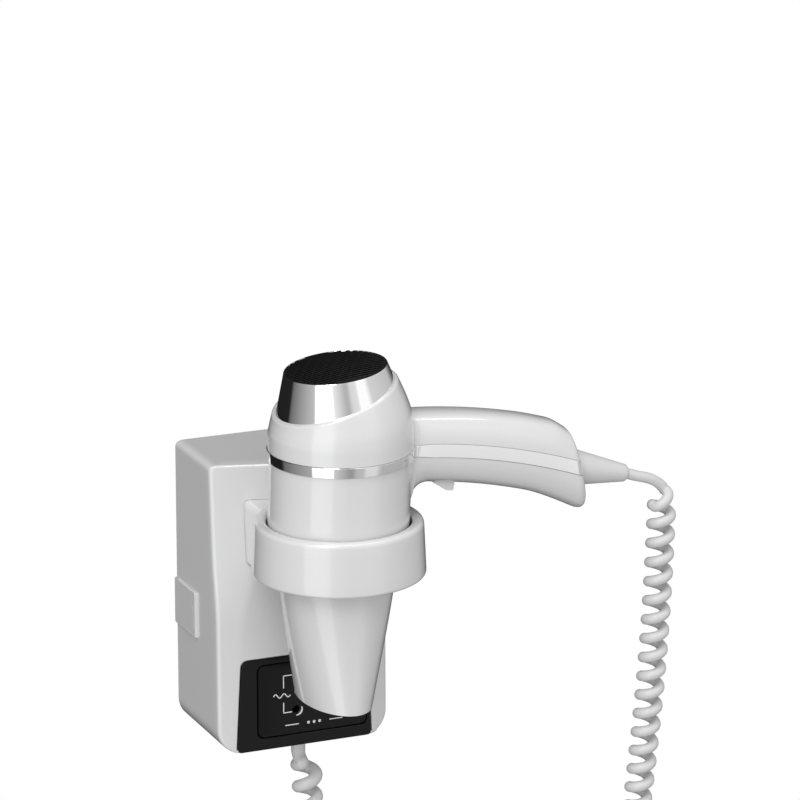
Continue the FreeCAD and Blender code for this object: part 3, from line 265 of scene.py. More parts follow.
def effect(name, ins, outs):
    """An empty shared node group with its sockets."""
    tree = bpy.data.node_groups.new(name, "ShaderNodeTree")
    for title, kind, value in ins:
        made = tree.interface.new_socket(title, in_out="INPUT", socket_type=f"NodeSocket{kind}")
        made.default_value = value
    for title, kind in outs:
        tree.interface.new_socket(title, in_out="OUTPUT", socket_type=f"NodeSocket{kind}")
    return tree, tree.nodes.new("NodeGroupInput").outputs, tree.nodes.new("NodeGroupOutput").inputs


def grain_effect():
    """Fine moulding grain: slight changes of colour and roughness and a small bump, from noise in object space."""
    tree, ins, outs = effect("grain", [("Color", "Color", (0.8, 0.8, 0.8, 1)), ("Amount", "Float", 0.03),
                                       ("Scale", "Float", 400.0), ("Roughness", "Float", 0.3),
                                       ("Bump", "Float", 0.05)],
                             [("Color", "Color"), ("Roughness", "Float"), ("Normal", "Vector")])
    place = node(tree, "ShaderNodeTexCoord").outputs["Object"]
    fine = node(tree, "ShaderNodeTexNoise", {"Vector": place, "Scale": ins["Scale"], "Detail": 3.0})
    broad = node(tree, "ShaderNodeTexNoise", {"Vector": place, "Scale": 22.0, "Detail": 2.0})
    both = node(tree, "ShaderNodeMath", {0: fine.outputs["Fac"], 1: broad.outputs["Fac"]}, operation="ADD")
    swing = node(tree, "ShaderNodeMath", {0: both.outputs[0], 1: 1.0}, operation="SUBTRACT")
    share = node(tree, "ShaderNodeMath", {0: swing.outputs[0], 1: ins["Amount"], 2: 1.0},
                 operation="MULTIPLY_ADD")
    tint = node(tree, "ShaderNodeVectorMath", {0: ins["Color"], 1: share.outputs[0]}, operation="MULTIPLY")
    rough = node(tree, "ShaderNodeMath", {0: ins["Roughness"], 1: share.outputs[0]}, operation="MULTIPLY")
    bump = node(tree, "ShaderNodeBump", {"Height": fine.outputs["Fac"], "Strength": ins["Bump"],
                                         "Distance": 0.0002})
    tree.links.new(tint.outputs[0], outs["Color"])
    tree.links.new(rough.outputs[0], outs["Roughness"])
    tree.links.new(bump.outputs[0], outs["Normal"])
    return tree


def wear_effect():
    """Edge wear: edges that stick out turn lighter, broken up by noise."""
    tree, ins, outs = effect("edge wear", [("Color", "Color", (0.8, 0.8, 0.8, 1)),
                                           ("Worn", "Color", (0.9, 0.9, 0.9, 1)), ("Amount", "Float", 0.2)],
                             [("Color", "Color"), ("Mask", "Float")])
    place = node(tree, "ShaderNodeTexCoord").outputs["Object"]
    edge = node(tree, "ShaderNodeMapRange", {"Value": node(tree, "ShaderNodeNewGeometry").outputs["Pointiness"],
                                             "From Min": 0.53, "From Max": 0.62})
    patch = node(tree, "ShaderNodeTexNoise", {"Vector": place, "Scale": 140.0, "Detail": 4.0})
    broken = node(tree, "ShaderNodeMath", {0: edge.outputs[0], 1: patch.outputs["Fac"]}, operation="MULTIPLY")
    mask = node(tree, "ShaderNodeMath", {0: broken.outputs[0], 1: ins["Amount"]}, operation="MULTIPLY")
    mix = node(tree, "ShaderNodeMix", data_type="RGBA")
    tree.links.new(mask.outputs[0], mix.inputs["Factor"])
    tree.links.new(ins["Color"], mix.inputs["A"])
    tree.links.new(ins["Worn"], mix.inputs["B"])
    tree.links.new(mix.outputs["Result"], outs["Color"])
    tree.links.new(mask.outputs[0], outs["Mask"])
    return tree


def dust_effect():
    """Dust: faces that look up take a thin pale cover, thicker in soft patches."""
    tree, ins, outs = effect("dust", [("Color", "Color", (0.8, 0.8, 0.8, 1)), ("Amount", "Float", 0.1)],
                             [("Color", "Color"), ("Mask", "Float")])
    face = node(tree, "ShaderNodeSeparateXYZ", {0: node(tree, "ShaderNodeNewGeometry").outputs["Normal"]})
    place = node(tree, "ShaderNodeTexCoord").outputs["Object"]
    patch = node(tree, "ShaderNodeTexNoise", {"Vector": place, "Scale": 60.0, "Detail": 5.0})
    level = node(tree, "ShaderNodeMapRange", {"Value": face.outputs["Z"], "From Min": 0.3, "From Max": 1.0})
    cover = node(tree, "ShaderNodeMath", {0: level.outputs[0], 1: patch.outputs["Fac"]}, operation="MULTIPLY")
    mask = node(tree, "ShaderNodeMath", {0: cover.outputs[0], 1: ins["Amount"]}, operation="MULTIPLY")
    mix = node(tree, "ShaderNodeMix", data_type="RGBA")
    mix.inputs["B"].default_value = (0.62, 0.6, 0.57, 1)
    tree.links.new(mask.outputs[0], mix.inputs["Factor"])
    tree.links.new(ins["Color"], mix.inputs["A"])
    tree.links.new(mix.outputs["Result"], outs["Color"])
    tree.links.new(mask.outputs[0], outs["Mask"])
    return tree


EFFECTS = {"grain": grain_effect(), "wear": wear_effect(), "dust": dust_effect()}


def grouped(tree, name, inputs):
    """One use of a shared effect."""
    made = tree.nodes.new("ShaderNodeGroup")
    made.node_tree = EFFECTS[name]
    for key, value in inputs.items():
        if isinstance(value, bpy.types.NodeSocket):
            tree.links.new(value, made.inputs[key])
        else:
            made.inputs[key].default_value = value
    return made.outputs


def make_material(name, color, rough, metal=0.0, amount=0.03, scale=400.0, bump=0.05, wear=0.1, dust=0.0,
                  coat=0.0, shine=0.5, stripes=None):
    """A finish from grain, wear and dust, with optional stripes (direction, scale, depth) for turns and sheets."""
    material = bpy.data.materials.new(name)
    material.use_nodes = True
    tree = material.node_tree
    shader = tree.nodes["Principled BSDF"]
    rgba = (*color, 1.0)
    grain = grouped(tree, "grain", {"Color": rgba, "Amount": amount, "Scale": scale, "Roughness": rough,
                                    "Bump": bump})
    worn = grouped(tree, "wear", {"Color": grain["Color"], "Worn": (*[min(c * 1.3 + 0.04, 1) for c in color], 1),
                                  "Amount": wear})
    dusty = grouped(tree, "dust", {"Color": worn["Color"], "Amount": dust})
    normal, tint = grain["Normal"], dusty["Color"]
    if stripes:
        direction, pitch, depth = stripes
        place = node(tree, "ShaderNodeTexCoord").outputs["Object"]
        wave = node(tree, "ShaderNodeTexWave", {"Vector": place, "Scale": pitch}, bands_direction=direction)
        normal = node(tree, "ShaderNodeBump", {"Height": wave.outputs["Fac"], "Strength": depth,
                                               "Distance": 0.0004, "Normal": normal}).outputs[0]
        level = node(tree, "ShaderNodeMapRange", {"Value": wave.outputs["Fac"], "To Min": 1 - depth / 2})
        tint = node(tree, "ShaderNodeVectorMath", {0: tint, 1: level.outputs[0]}, operation="MULTIPLY").outputs[0]
    for key, value in (("Base Color", tint), ("Roughness", grain["Roughness"]), ("Normal", normal)):
        tree.links.new(value, shader.inputs[key])
    shader.inputs["Metallic"].default_value = metal
    shader.inputs["Specular IOR Level"].default_value = shine
    shader.inputs["Coat Weight"].default_value = coat
    shader.inputs["Coat Roughness"].default_value = 0.03
    material.diffuse_color = rgba
    return material


MATERIALS = {
    "white_shell": make_material("white_shell", (0.70, 0.70, 0.705), 0.3, amount=0.02, scale=900.0, bump=0.02,
                                 wear=0.1, dust=0.05, coat=1.0),
    "black_plastic": make_material("black_plastic", (0.004, 0.004, 0.0045), 0.3, amount=0.15, scale=700.0,
                                   bump=0.03, wear=0.1, dust=0.01, shine=0.22),
    "polished_trim": make_material("polished_trim", (0.93, 0.93, 0.94), 0.055, metal=1.0, amount=0.04,
                                   scale=1500.0, bump=0.004, wear=0.0, dust=0.02),
    "steel": make_material("steel", (0.56, 0.57, 0.58), 0.28, metal=1.0, amount=0.1, scale=1200.0, bump=0.06,
                           wear=0.3, stripes=("Z", 900.0, 0.15)),
    "brass": make_material("brass", (0.71, 0.50, 0.20), 0.26, metal=1.0, amount=0.12, scale=900.0, wear=0.3),
    "copper": make_material("copper", (0.70, 0.29, 0.14), 0.3, metal=1.0, amount=0.1, scale=900.0, wear=0.1,
                            stripes=("Z", 420.0, 0.7)),
    "mica": make_material("mica", (0.50, 0.44, 0.33), 0.4, amount=0.3, scale=180.0, bump=0.2, wear=0.2,
                          stripes=("DIAGONAL", 60.0, 0.15)),
    "grey_plastic": make_material("grey_plastic", (0.13, 0.135, 0.14), 0.45, amount=0.1, scale=700.0, bump=0.15,
                                  wear=0.3, dust=0.1),
    "board": make_material("board", (0.03, 0.16, 0.06), 0.35, amount=0.25, scale=250.0, bump=0.1, wear=0.3,
                           coat=0.3, stripes=("X", 130.0, 0.35)),
    "cord_grey": make_material("cord_grey", (0.66, 0.66, 0.66), 0.42, amount=0.03, scale=1100.0, bump=0.08,
                               wear=0.05, dust=0.05),
    "white_print": make_material("white_print", (0.85, 0.85, 0.85), 0.5, amount=0.05, scale=1500.0, bump=0.05,
                                 wear=0.0),
}


def finish_cad_nodes():
    """Inner CAD nodes keep their shape and take the finish of their slot."""
    slots = {part["node"]: part["material_slot"] for part in frame["record"]["subparts"]}
    for name, obj in frame["nodes"].items():
        obj.data.materials.clear()
        obj.data.materials.append(MATERIALS[slots[name]])


# ---- wall unit ----
def case_grid(z, wall, extra, reach, arc=6):
    """Rows of the housing's outline in plan: side faces, slanted facets and front flat, by height.

    z is each row's height, wall and extra how far the outline lies inside the outer face, and reach the row's
    place between the straight back edge and the full outline, less than 1 in the bottom and top faces.
    """
    z, extra, reach = (np.asarray(v, float) for v in np.broadcast_arrays(z, extra, reach))
    share = np.clip(z / UNIT_H, -0.5, 0.5)
    side = smooth(share, SECTION_AT, SECTION_SIDE) - wall - extra
    front = FRONT - smooth(share, SECTION_AT, SECTION_BACK) - wall - extra
    flat = smooth(share, SECTION_AT, SECTION_FLAT)
    radius = np.where(z < 0, CORNER_LOW, CORNER_TOP) - wall
    radius = np.maximum(radius, 1.0)
    gap = np.clip(UNIT_H / 2 - wall - np.abs(z), 0, radius)
    corner = radius - np.sqrt(np.maximum(radius ** 2 - (radius - gap) ** 2, 0))
    half = UNIT_W / 2 - wall - extra - corner
    deep = side + (front - side) * np.clip((UNIT_W / 2 - wall - half) / (UNIT_W / 2 - wall - flat), 0, 1)
    flat = np.minimum(flat, half - 2.5)
    zero = np.zeros_like(half)
    outline = np.stack([np.stack(p, -1) for p in ((-half, zero), (-half, deep), (-flat, front), (flat, front),
                                                  (half, deep), (half, zero))], -2)
    plan = rounded(outline, [0.0, 2.2, 2.4, 2.4, 2.2, 0.0], closed=False, arc=arc, side=8)
    part = reach[:, None]
    back = half[:, None] * np.linspace(-1, 1, plan.shape[-2])
    return stacked(plan[..., 0] * part + back * (1 - part), -plan[..., 1] * part, z[:, None])


def case_rows(wall):
    """Heights, insets and reaches of the housing's rows: bottom face, eased edge, walls, eased edge, top face."""
    edge = 1.5
    turn = np.linspace(0, math.pi / 2, 6)
    rise, inset = edge * (1 - np.cos(turn)), edge * (1 - np.sin(turn))
    half = UNIT_H / 2 - wall
    caps = np.linspace(0, 1, 7)[:-1]
    middle = (half - edge) * np.sin(np.linspace(-math.pi / 2, math.pi / 2, 72))[1:-1]
    z = np.concatenate([np.full(6, -half), -half + rise, middle, (half - rise)[::-1], np.full(6, half)])
    extra = np.concatenate([np.full(6, edge), inset, np.zeros(70), inset[::-1], np.full(6, edge)])
    reach = np.concatenate([caps, np.ones(6 + 70 + 6), caps[::-1]])
    return z, extra, reach


def block_outline(grow, y):
    """Outline of the block behind the ring at some depth, as x, y and z."""
    corners = [(-32.6, 25.6), (32.6, 25.6), (32.6, 62.0), (-32.6, 62.0)]
    loop = rounded([(x + math.copysign(grow, x), z + math.copysign(grow, z - 44)) for x, z in corners], [4.0] * 4,
                   arc=8, side=12)
    return loop[:, 0], y, loop[:, 1]


def wall_housing():
    """The cover: outer and inner outline grids, with the recess for the socket panel taken out."""
    outer, inner = (case_grid(z, wall, extra, reach) for wall in (0.0, UNIT_WALL)
                    for z, extra, reach in [case_rows(wall)])
    obj = fresh("wall housing", *sheet(outer, inner))
    recess = plate_rings(panel_corners, [(1.0, -FRONT - 3), (1.0, -FRONT - 0.05), (0.35, -FRONT + 0.6),
                                         (0.35, -FRONT + 1.7)], [0.3, 0.3, 4.4, 4.4], low=-2.4)
    opening = plate_rings(field_corners, [(1.6, -FRONT - 3), (1.6, -FRONT + 6)], [4.0] * 4)
    gap = [stacked(*block_outline(grow, y)) for grow, y in ((0.35, -75.0), (0.35, -50.0), (-0.2, -50.0), (-0.2, -75.0))]
    cut(obj, [solid(recess), solid(opening), solid(np.stack(gap), wrap_rows=True)])
    return show(obj, "white_shell", "wall_unit", ["wall_housing"], angle=16.0)


def panel_corners(grow, low=0.0):
    """Corners of the socket panel, counter-clockwise from the low left."""
    bottom, top = -UNIT_H / 2 - grow - low, -UNIT_H / 2 + 52.8 + grow
    return [(-39.8 - grow, bottom), (39.8 + grow, bottom), (37.0 + grow, top), (-37.0 - grow, top)]


def field_corners(grow, low=0.0):
    """Corners of the socket field, in the same order."""
    top = -UNIT_H / 2 + 52.8 - 4.0
    x0, x1 = 4.6 - 32.0 - grow, 4.6 + 32.0 + grow
    z0, z1 = top - 41.5 - grow - low, top + grow
    return [(x0, z0), (x1, z0), (x1, z1), (x0, z1)]


def plate_rings(corners, rows, trims, low=0.0):
    """Loops of a plate's outline, one for each (growth, depth)."""
    loops = []
    for grow, y in rows:
        outline = rounded(corners(grow, low), trims, arc=8, side=3)
        loops.append(stacked(outline[:, 0], y, outline[:, 1]))
    return np.stack(loops)


def socket_panel():
    """The glossy plate: outer rim, face and the rim of the field's opening as one closed ring."""
    front = -FRONT - 0.1
    outer = plate_rings(panel_corners, [(0.0, front + 1.5), (0.0, front + 0.35), (-0.12, front + 0.1),
                                        (-0.4, front), (-0.7, front)], [3.0, 3.0, 4.0, 4.0])
    inner = plate_rings(field_corners, [(1.4, front), (1.1, front), (0.85, front + 0.1), (0.7, front + 0.35),
                                        (0.7, front + 1.5)], [4.6] * 4)
    obj = fresh("socket panel", *solid(np.concatenate([outer, inner]), wrap_rows=True))
    return show(obj, "black_plastic", "wall_unit", ["socket_panel"], angle=50.0)


def socket_insert():
    """The field with its two pin holes, and its flange behind the front wall."""
    front = -FRONT + 0.1
    plate = plate_rings(field_corners, [(0.0, front + 4.0), (0.0, front + 0.4), (-0.12, front + 0.12),
                                        (-0.45, front)], [4.0] * 4)
    obj = fresh("socket insert", *solid(plate))
    hole = [(0.001, -3.0), (2.6, -3.0), (2.6, -0.01), (2.1, 0.45), (2.1, 8.0), (0.001, 8.0)]
    cut(obj, [solid(lathe(hole, (x, front, -60.5), (0, 1, 0), 48)) for x in (-4.9, 14.1)])
    return show(obj, "black_plastic", "wall_unit", ["socket_insert"], angle=40.0)


def ribbon(points, width, y=-FRONT + 0.1, thick=0.07):
    """A printed line, or a painted highlight: a strip of some width along points in the front plane."""
    points = np.asarray(points, float)
    width = np.broadcast_to(width, len(points))
    along = np.gradient(points, axis=0)
    along /= np.linalg.norm(along, axis=1, keepdims=True)
    side = np.stack([-along[:, 1], along[:, 0]], -1) * width[:, None] / 2
    left, right = points + side, points - side
    loops = [stacked(p[:, 0], depth, p[:, 1]) for p, depth in ((left, y), (right, y), (right, y - thick),
                                                                (left, y - thick))]
    return solid(np.stack(loops, 1))


def arc_points(x, z, radius, start, end, count=24):
    """Points of an arc in the front plane, angles in degrees."""
    angle = np.radians(np.linspace(start, end, count))
    return np.stack([x + radius * np.cos(angle), z + radius * np.sin(angle)], -1)


def socket_marks():
    """White print on the field, a broken bracket with a wave and a dashed line, and a white crescent by the left pin
    hole that is a painted highlight of the hole's lit lower right rim.
    """
    line = 0.55
    wave_x = np.linspace(-18.5, -8.5, 40)
    wave = np.stack([wave_x, -51.4 + 1.1 * np.sin((wave_x + 18.5) / 10.0 * 4 * math.pi)], -1)
    # Painted highlight: a white crescent round the lower right of the left pin hole, standing in for the light on its
    # rim.
    painted_rim_glint = arc_points(-4.9, -60.5, 3.3, -95, 25)
    dot_spots = [(2.2, -69.0), (5.5, -69.0), (8.8, -69.0)]
    parts = [ribbon([(-7.6, -40.0), (-12.75, -40.0)], line), ribbon([(-12.5, -40.0), (-12.5, -47.2)], line),
             ribbon([(-12.5, -55.6), (-12.5, -61.5)], line), ribbon([(-12.75, -61.5), (-7.6, -61.5)], line),
             ribbon(wave, line), ribbon(painted_rim_glint, 0.25 + 0.75 * np.sin(np.linspace(0.1, 3.04, 24))),
             ribbon([(-11.6, -69.0), (-3.6, -69.0)], line), ribbon([(14.6, -69.0), (22.4, -69.0)], line)]
    parts += [ribbon(arc_points(x, z, 0.45, 0, 340, 16), 0.8) for x, z in dot_spots]
    # The white print material here also carries the painted highlight crescent at the pin hole.
    return show(fresh("socket marks", *merged(parts)), "white_print", "wall_unit", angle=60.0)


def side_pads():
    """The raised pads on the housing's sides, chamfered all round, each with an upright groove."""
    parts, grooves = [], []
    z0, z1 = PAD_Z - PAD_H / 2, PAD_Z + PAD_H / 2
    for side in (-1, 1):
        rows = []
        for grow, out in ((0.5, -1.5), (0.5, 0.0), (0.15, PAD_PROUD - 0.1), (0.0, PAD_PROUD)):
            corners = [(0.05, z0 - grow), (PAD_D + grow * 0.3, z0 - grow), (PAD_D + grow * 0.3, z1 + grow),
                       (0.05, z1 + grow)]
            outline = rounded(corners, [0.02, 0.8, 0.8, 0.02], arc=5, side=2)
            rows.append(stacked(side * (UNIT_W / 2 + out), -outline[:, 0], outline[:, 1]))
        parts.append(solid(np.stack(rows)))
        groove = rounded([(PAD_D - 3.1, PAD_Z - 7.2), (PAD_D - 2.2, PAD_Z - 7.2), (PAD_D - 2.2, PAD_Z + 7.2),
                          (PAD_D - 3.1, PAD_Z + 7.2)], [0.3] * 4, arc=4, side=1)
        grooves.append(solid(np.stack([stacked(side * (UNIT_W / 2 + out), -groove[:, 0], groove[:, 1])
                                       for out in (PAD_PROUD - 0.6, PAD_PROUD + 1)])))
    obj = cut(fresh("side pads", *merged(parts)), grooves)
    return show(obj, "white_shell", "wall_unit", ["wall_housing"], angle=8.0)


def wall_gland():
    """The sleeve under the housing where the cord goes in, with a collar and a rounded mouth."""
    x, y, low = GLAND
    profile = [(3.05, 14.5), (6.5, 14.5), (6.5, 12.5), (5.2, 12.5), (5.2, 11.9), (4.9, 11.6), (4.2, 11.4), (4.0, 10.8),
               (4.0, 0.9), (3.85, 0.35), (3.5, 0.05), (3.05, 0.0)]
    grid = lathe(profile, (x, y, low), turns=64)
    return show(fresh("wall gland", *solid(grid, wrap_rows=True)), "cord_grey", "wall_unit", ["wall_gland"],
                angle=50.0)


# ---- holder ring ----
def holder_ring():
    """The ring as one turned profile with eased rims, and the block behind it hollowed for the bore."""
    profile = rounded([(46.9, 34.2), (45.5, 64.2), (38.9, 64.2), (38.9, 45.2), (35.6, 36.2), (35.6, 34.2)],
                      [2.0, 3.0, 2.6, 1.0, 0.6, 0.9], arc=8, side=3)
    ring = solid(lathe(profile, (0, AXIS_Y, 0), turns=192), wrap_rows=True)
    rows = ((-1.2, AXIS_Y + 20.0), (-0.35, AXIS_Y + 20.35), (0.0, AXIS_Y + 21.2), (0.0, -57.5))
    block = fresh("holder block", *solid(np.stack([stacked(*block_outline(grow, y)) for grow, y in rows])))
    bore = [(0.001, 20.0), (36.6, 20.0), (35.6, 26.2), (35.6, 36.2), (41.0, 37.0), (41.0, 70.0), (0.001, 70.0)]
    cut(block, [solid(lathe(bore, (0, AXIS_Y, 0), turns=192))])
    show(block, "white_shell", "wall_unit", ["holder_ring"], angle=30.0)
    return show(fresh("holder ring", *ring), "white_shell", "wall_unit", ["holder_ring"], angle=50.0)


# ---- handset: barrel ----
STATION = [28.0, 32.0, 42.0, 54.0, 66.0, 94.0, 105.0, 110.0, 117.0, 127.0, 138.0, 150.0]
STATION_R = [33.0, 33.0, 36.2, 37.6, 38.1, 38.2, 39.1, 39.1, 38.6, 36.32, 32.8, 28.96]


def barrel(theta, w, grow=0.0):
    """The barrel's skin: circles about an axis that starts upright and bends back towards the air intake.

    theta runs round, w along; up to 110 it is the height, above 118 it is 118 plus the rise along the tilted axis.
    """
    tilt = smooth(w, [28, 110, 117, 127, 150], [0, 0, TILT / 2, TILT, TILT])
    x = smooth(w, [28, 110, 117, 127, 150], [0, 0, -0.1, -1.30, -4.62])
    z = smooth(w, [28, 110, 117, 127, 150], [28, 110, 117, 126.9, 149.66])
    r = smooth(w, STATION, STATION_R) + grow
    return stacked(x + r * np.cos(theta) * np.cos(tilt), AXIS_Y + r * np.sin(theta),
                   z + r * np.cos(theta) * np.sin(tilt))


def crossing(theta, height, slope, grow=0.0):
    """Where the skin meets the plane of that height and slope along X, at each angle, found by halving."""
    low, high = np.full(theta.shape, 28.0), np.full(theta.shape, 150.0)
    for _ in range(36):
        middle = (low + high) / 2
        at = barrel(theta, middle, grow)
        under = at[..., 2] < height + slope * at[..., 0]
        low, high = np.where(under, middle, low), np.where(under, high, middle)
    return (low + high) / 2


def parting(off):
    """Height at X 0 and slope of the parting plane moved up by off: level once the handset leans."""
    slope = math.tan(LEAN)
    return HANDLE_Z + off - HANDLE_X * slope, slope


def barrel_wall(low, high, rows=40, turns=192, lip=0.0):
    """A wall of the barrel between two planes or heights, its upper edge rounded inwards by lip."""
    theta = np.linspace(0, 2 * math.pi, turns, endpoint=False)
    share = np.concatenate([np.linspace(0, 0.96, rows), 1 - 0.04 * (1 - np.linspace(0, 1, 7)[1:]) ** 2])[:, None]
    curl = lip * (1 - np.sqrt(1 - np.clip((share - 0.96) / 0.04, 0, 1) ** 2))
    grids = []
    for grow in (0.0, -SHELL):
        ends = [np.full(theta.shape, e) if np.isscalar(e) else crossing(theta, *e, grow) for e in (low, high)]
        skin = barrel(theta[None], ends[0] + (ends[1] - ends[0]) * share, grow - curl * (1 + grow * 1.2 / SHELL))
        grids.append(lean(skin))
    return sheet(*grids, wrap=True)


# ---- handset: handle ----
def spine(along, off=0.0):
    """Points on the handle's spine, off it along its normal, and the spine's fall."""
    fall = FALL + along / HANDLE_ARC
    x = HANDLE_X + HANDLE_ARC * (np.sin(fall) - math.sin(FALL)) + off * np.sin(fall)
    z = HANDLE_Z - HANDLE_ARC * (math.cos(FALL) - np.cos(fall)) + off * np.cos(fall)
    return x, z, fall


def handle_sizes(grow):
    """Rows along the handle: distance, half height, half width and drop of the section's centre."""
    run = np.concatenate([np.linspace(-7.5, -2, 8), np.linspace(-1.5, 12, 22),
                          [TRIGGER_AT - TRIGGER_HALF_L - EASE, TRIGGER_AT + TRIGGER_HALF_L + EASE],
                          np.linspace(13, HANDLE_L - END_REACH, 60)])
    run = np.unique(np.round(run, 3))
    turn = np.linspace(0, math.acos(0.36 ** (END_ROUND / 2)), 22)[1:]
    share = np.concatenate([np.ones(len(run)), np.cos(turn) ** (2 / END_ROUND)])
    end = HANDLE_L - END_REACH
    along = np.concatenate([run, end + (END_REACH + grow) * np.sin(turn) ** (2 / END_ROUND)])

    def flare(radius, start):
        gone = np.clip(along - start, 0, radius)
        return radius - np.sqrt(radius ** 2 - (radius - gone) ** 2)

    under, side = flare(12.0, -2.0) / 2, flare(4.0, -6.0)
    left = HANDLE_L - along
    tall = smooth(-left, [-100, -28, -15, 0], [1, 1, 1.02, 1.02])
    heel = HEEL * smooth(-left, [-100, -32, -26, -20, -14, -9, -5, 0], [0, 0, 0.03, 0.12, 0.34, 0.62, 0.82, 0.92])
    ease = 0.6 * np.clip(1 - along / 60.0, 0, 1)
    half_h = (HALF_H + grow - ease) * tall * share + under
    half_w = (HALF_W + grow) * share + side
    return along, half_h, half_w, under + heel + ease


def handle_skin(along, angle, half_h, half_w, drop):
    """The handle's skin: superellipse sections square to the spine."""
    across = np.sign(np.cos(angle)) * np.abs(np.cos(angle)) ** (2 / ROUND) * half_w
    rise = np.sign(np.sin(angle)) * np.abs(np.sin(angle)) ** (2 / ROUND) * half_h - drop
    slant = END_SLANT * np.clip((along - SLANT_FROM) / (HANDLE_L - SLANT_FROM), 0, 1) ** 2
    x, z, fall = spine(along, rise)
    return stacked(x - slant * rise * np.cos(fall), AXIS_Y - across, z + slant * rise * np.sin(fall))


def angle_at(off, half_h, drop):
    """Angle in the section where its skin lies at that distance from the spine."""
    q = np.clip((off + drop) / half_h, -1, 1)
    return np.arcsin(np.sign(q) * np.abs(q) ** (ROUND / 2))


def strip_reach(along):
    """Half width of the trim along the handle: the band's at the barrel, the strip's beyond."""
    return BAND_HALF * smooth(along, [-6.5, -2, 8, 110], [1.0, 1.05, STRIP_HALF / BAND_HALF, STRIP_HALF / BAND_HALF])


def handle_half(upper):
    """One half of the handle as a wall, open along the strip; the lower half has the trigger's slot."""
    grids = []
    columns = 48
    share = np.linspace(0, 1, columns + 1)
    if not upper:
        slot = math.acos(((TRIGGER_HALF_W + EASE) / HALF_W) ** (ROUND / 2))
    for grow in (0.0, -SHELL):
        along, half_h, half_w, drop = handle_sizes(grow)
        off = strip_reach(along) + SEAM
        if upper:
            start = angle_at(off, half_h, drop)
            angle = start[:, None] + (math.pi - 2 * start)[:, None] * share
        else:
            start = -angle_at(-off, half_h, drop)
            edge = np.minimum(slot, math.pi / 2 - 0.01)
            side = start[:, None] + (edge - start)[:, None] * np.linspace(0, 1, 19)
            middle = np.linspace(edge, math.pi - edge, 13)[1:-1]
            angle = -np.hstack([side, np.broadcast_to(middle, (len(along), 11)), math.pi - side[:, ::-1]])
        grids.append(lean(handle_skin(along[:, None], angle, half_h[:, None], half_w[:, None], drop[:, None])))
    keep = None
    if not upper:
        keep = np.ones((grids[0].shape[0] - 1, grids[0].shape[1] - 1), bool)
        middle = (along[:-1] + along[1:]) / 2
        rows = np.abs(middle - TRIGGER_AT) < TRIGGER_HALF_L + EASE
        keep[rows, 18:30] = False
    return sheet(*grids, keep=keep)


def shells():
    """The handset's two shells: barrel wall and handle half of each."""
    low, high = parting(-BAND_HALF - SEAM), parting(BAND_HALF + SEAM)
    front = fresh("front shell", *merged([barrel_wall(28.0, low, 60), handle_half(False)]))
    rear = fresh("rear shell", *merged([barrel_wall(high, (SPLIT_Z, SPLIT_SLOPE), 40, lip=0.9), handle_half(True)]))
    show(front, "white_shell", "handset", ["front_shell"], bevel=0.2, angle=40.0)
    show(rear, "white_shell", "handset", ["rear_shell"], bevel=0.2, angle=40.0)


def strip_profile(half, proud):
    """Section of the trim: (place across, stand-out) round a closed loop with small chamfers."""
    return np.array([(-half, -1.2), (-half, proud - 0.2), (-half + 0.2, proud), (0.0, proud), (half - 0.2, proud),
                     (half, proud - 0.2), (half, -1.2)])


def trim_band():
    """The polished band round the barrel along the parting plane."""
    theta = np.linspace(math.radians(26), math.radians(334), 180)
    rows = [barrel(theta, crossing(theta, *parting(off)), out) for off, out in strip_profile(BAND_HALF, BAND_PROUD)]
    grid = lean(np.stack(rows, 1))
    return show(fresh("trim band", *solid(grid)), "polished_trim", "handset", ["trim_band"], angle=12.0)


def handle_strip(side, node_name):
    """The polished strip along one side of the handle, following its outline round the end."""
    along, half_h, half_w, drop = handle_sizes(0.0)
    wanted = along > -6.5
    along, half_h, half_w, drop = (v[wanted] for v in (along, half_h, half_w, drop))
    rows = []
    for off, out in strip_profile(BAND_HALF, 0.25):
        off = off / BAND_HALF * strip_reach(along)
        angle = angle_at(off, half_h, drop)
        angle = angle if side > 0 else math.pi - angle
        rows.append((handle_skin(along, angle, half_h, half_w, drop), out))
    points = np.stack([p for p, _ in rows], 1)
    run = np.gradient(points[:, 3], axis=0)
    normal = np.stack([run[:, 1] * side, -run[:, 0] * side, np.zeros(len(run))], -1)
    normal /= np.linalg.norm(normal, axis=1, keepdims=True)
    grid = points + normal[:, None] * np.array([out for _, out in rows])[None, :, None]
    return show(fresh(node_name.replace("_", " "), *solid(lean(grid))), "polished_trim", "handset",
                [node_name], angle=12.0)


def relief_axis(reach):
    """A point on the strain relief's axis, and the axis."""
    x, z, _ = spine(HANDLE_L, -RELIEF_LOW)
    axis = np.array([math.cos(RELIEF_FALL), 0, -math.sin(RELIEF_FALL)])
    return np.array([x, AXIS_Y, z]) + axis * reach, axis


def strain_relief():
    """The tapered sleeve at the handle's end, with a rounded mouth."""
    origin, axis = relief_axis(0.0)
    reach = np.linspace(0, RELIEF_L - 1.2, 16)
    profile = [(3.05, -5.0), (10.0, -5.0)] + [(10.0 - 5.3 * h / RELIEF_L, h) for h in reach]
    profile += [(4.5, RELIEF_L - 0.5), (4.1, RELIEF_L - 0.1), (3.7, RELIEF_L), (3.05, RELIEF_L)]
    grid = lean(lathe(profile, origin, axis, 96))
    return show(fresh("strain relief", *solid(grid, wrap_rows=True)), "cord_grey", "handset",
                ["handle_strain_relief"], angle=50.0)


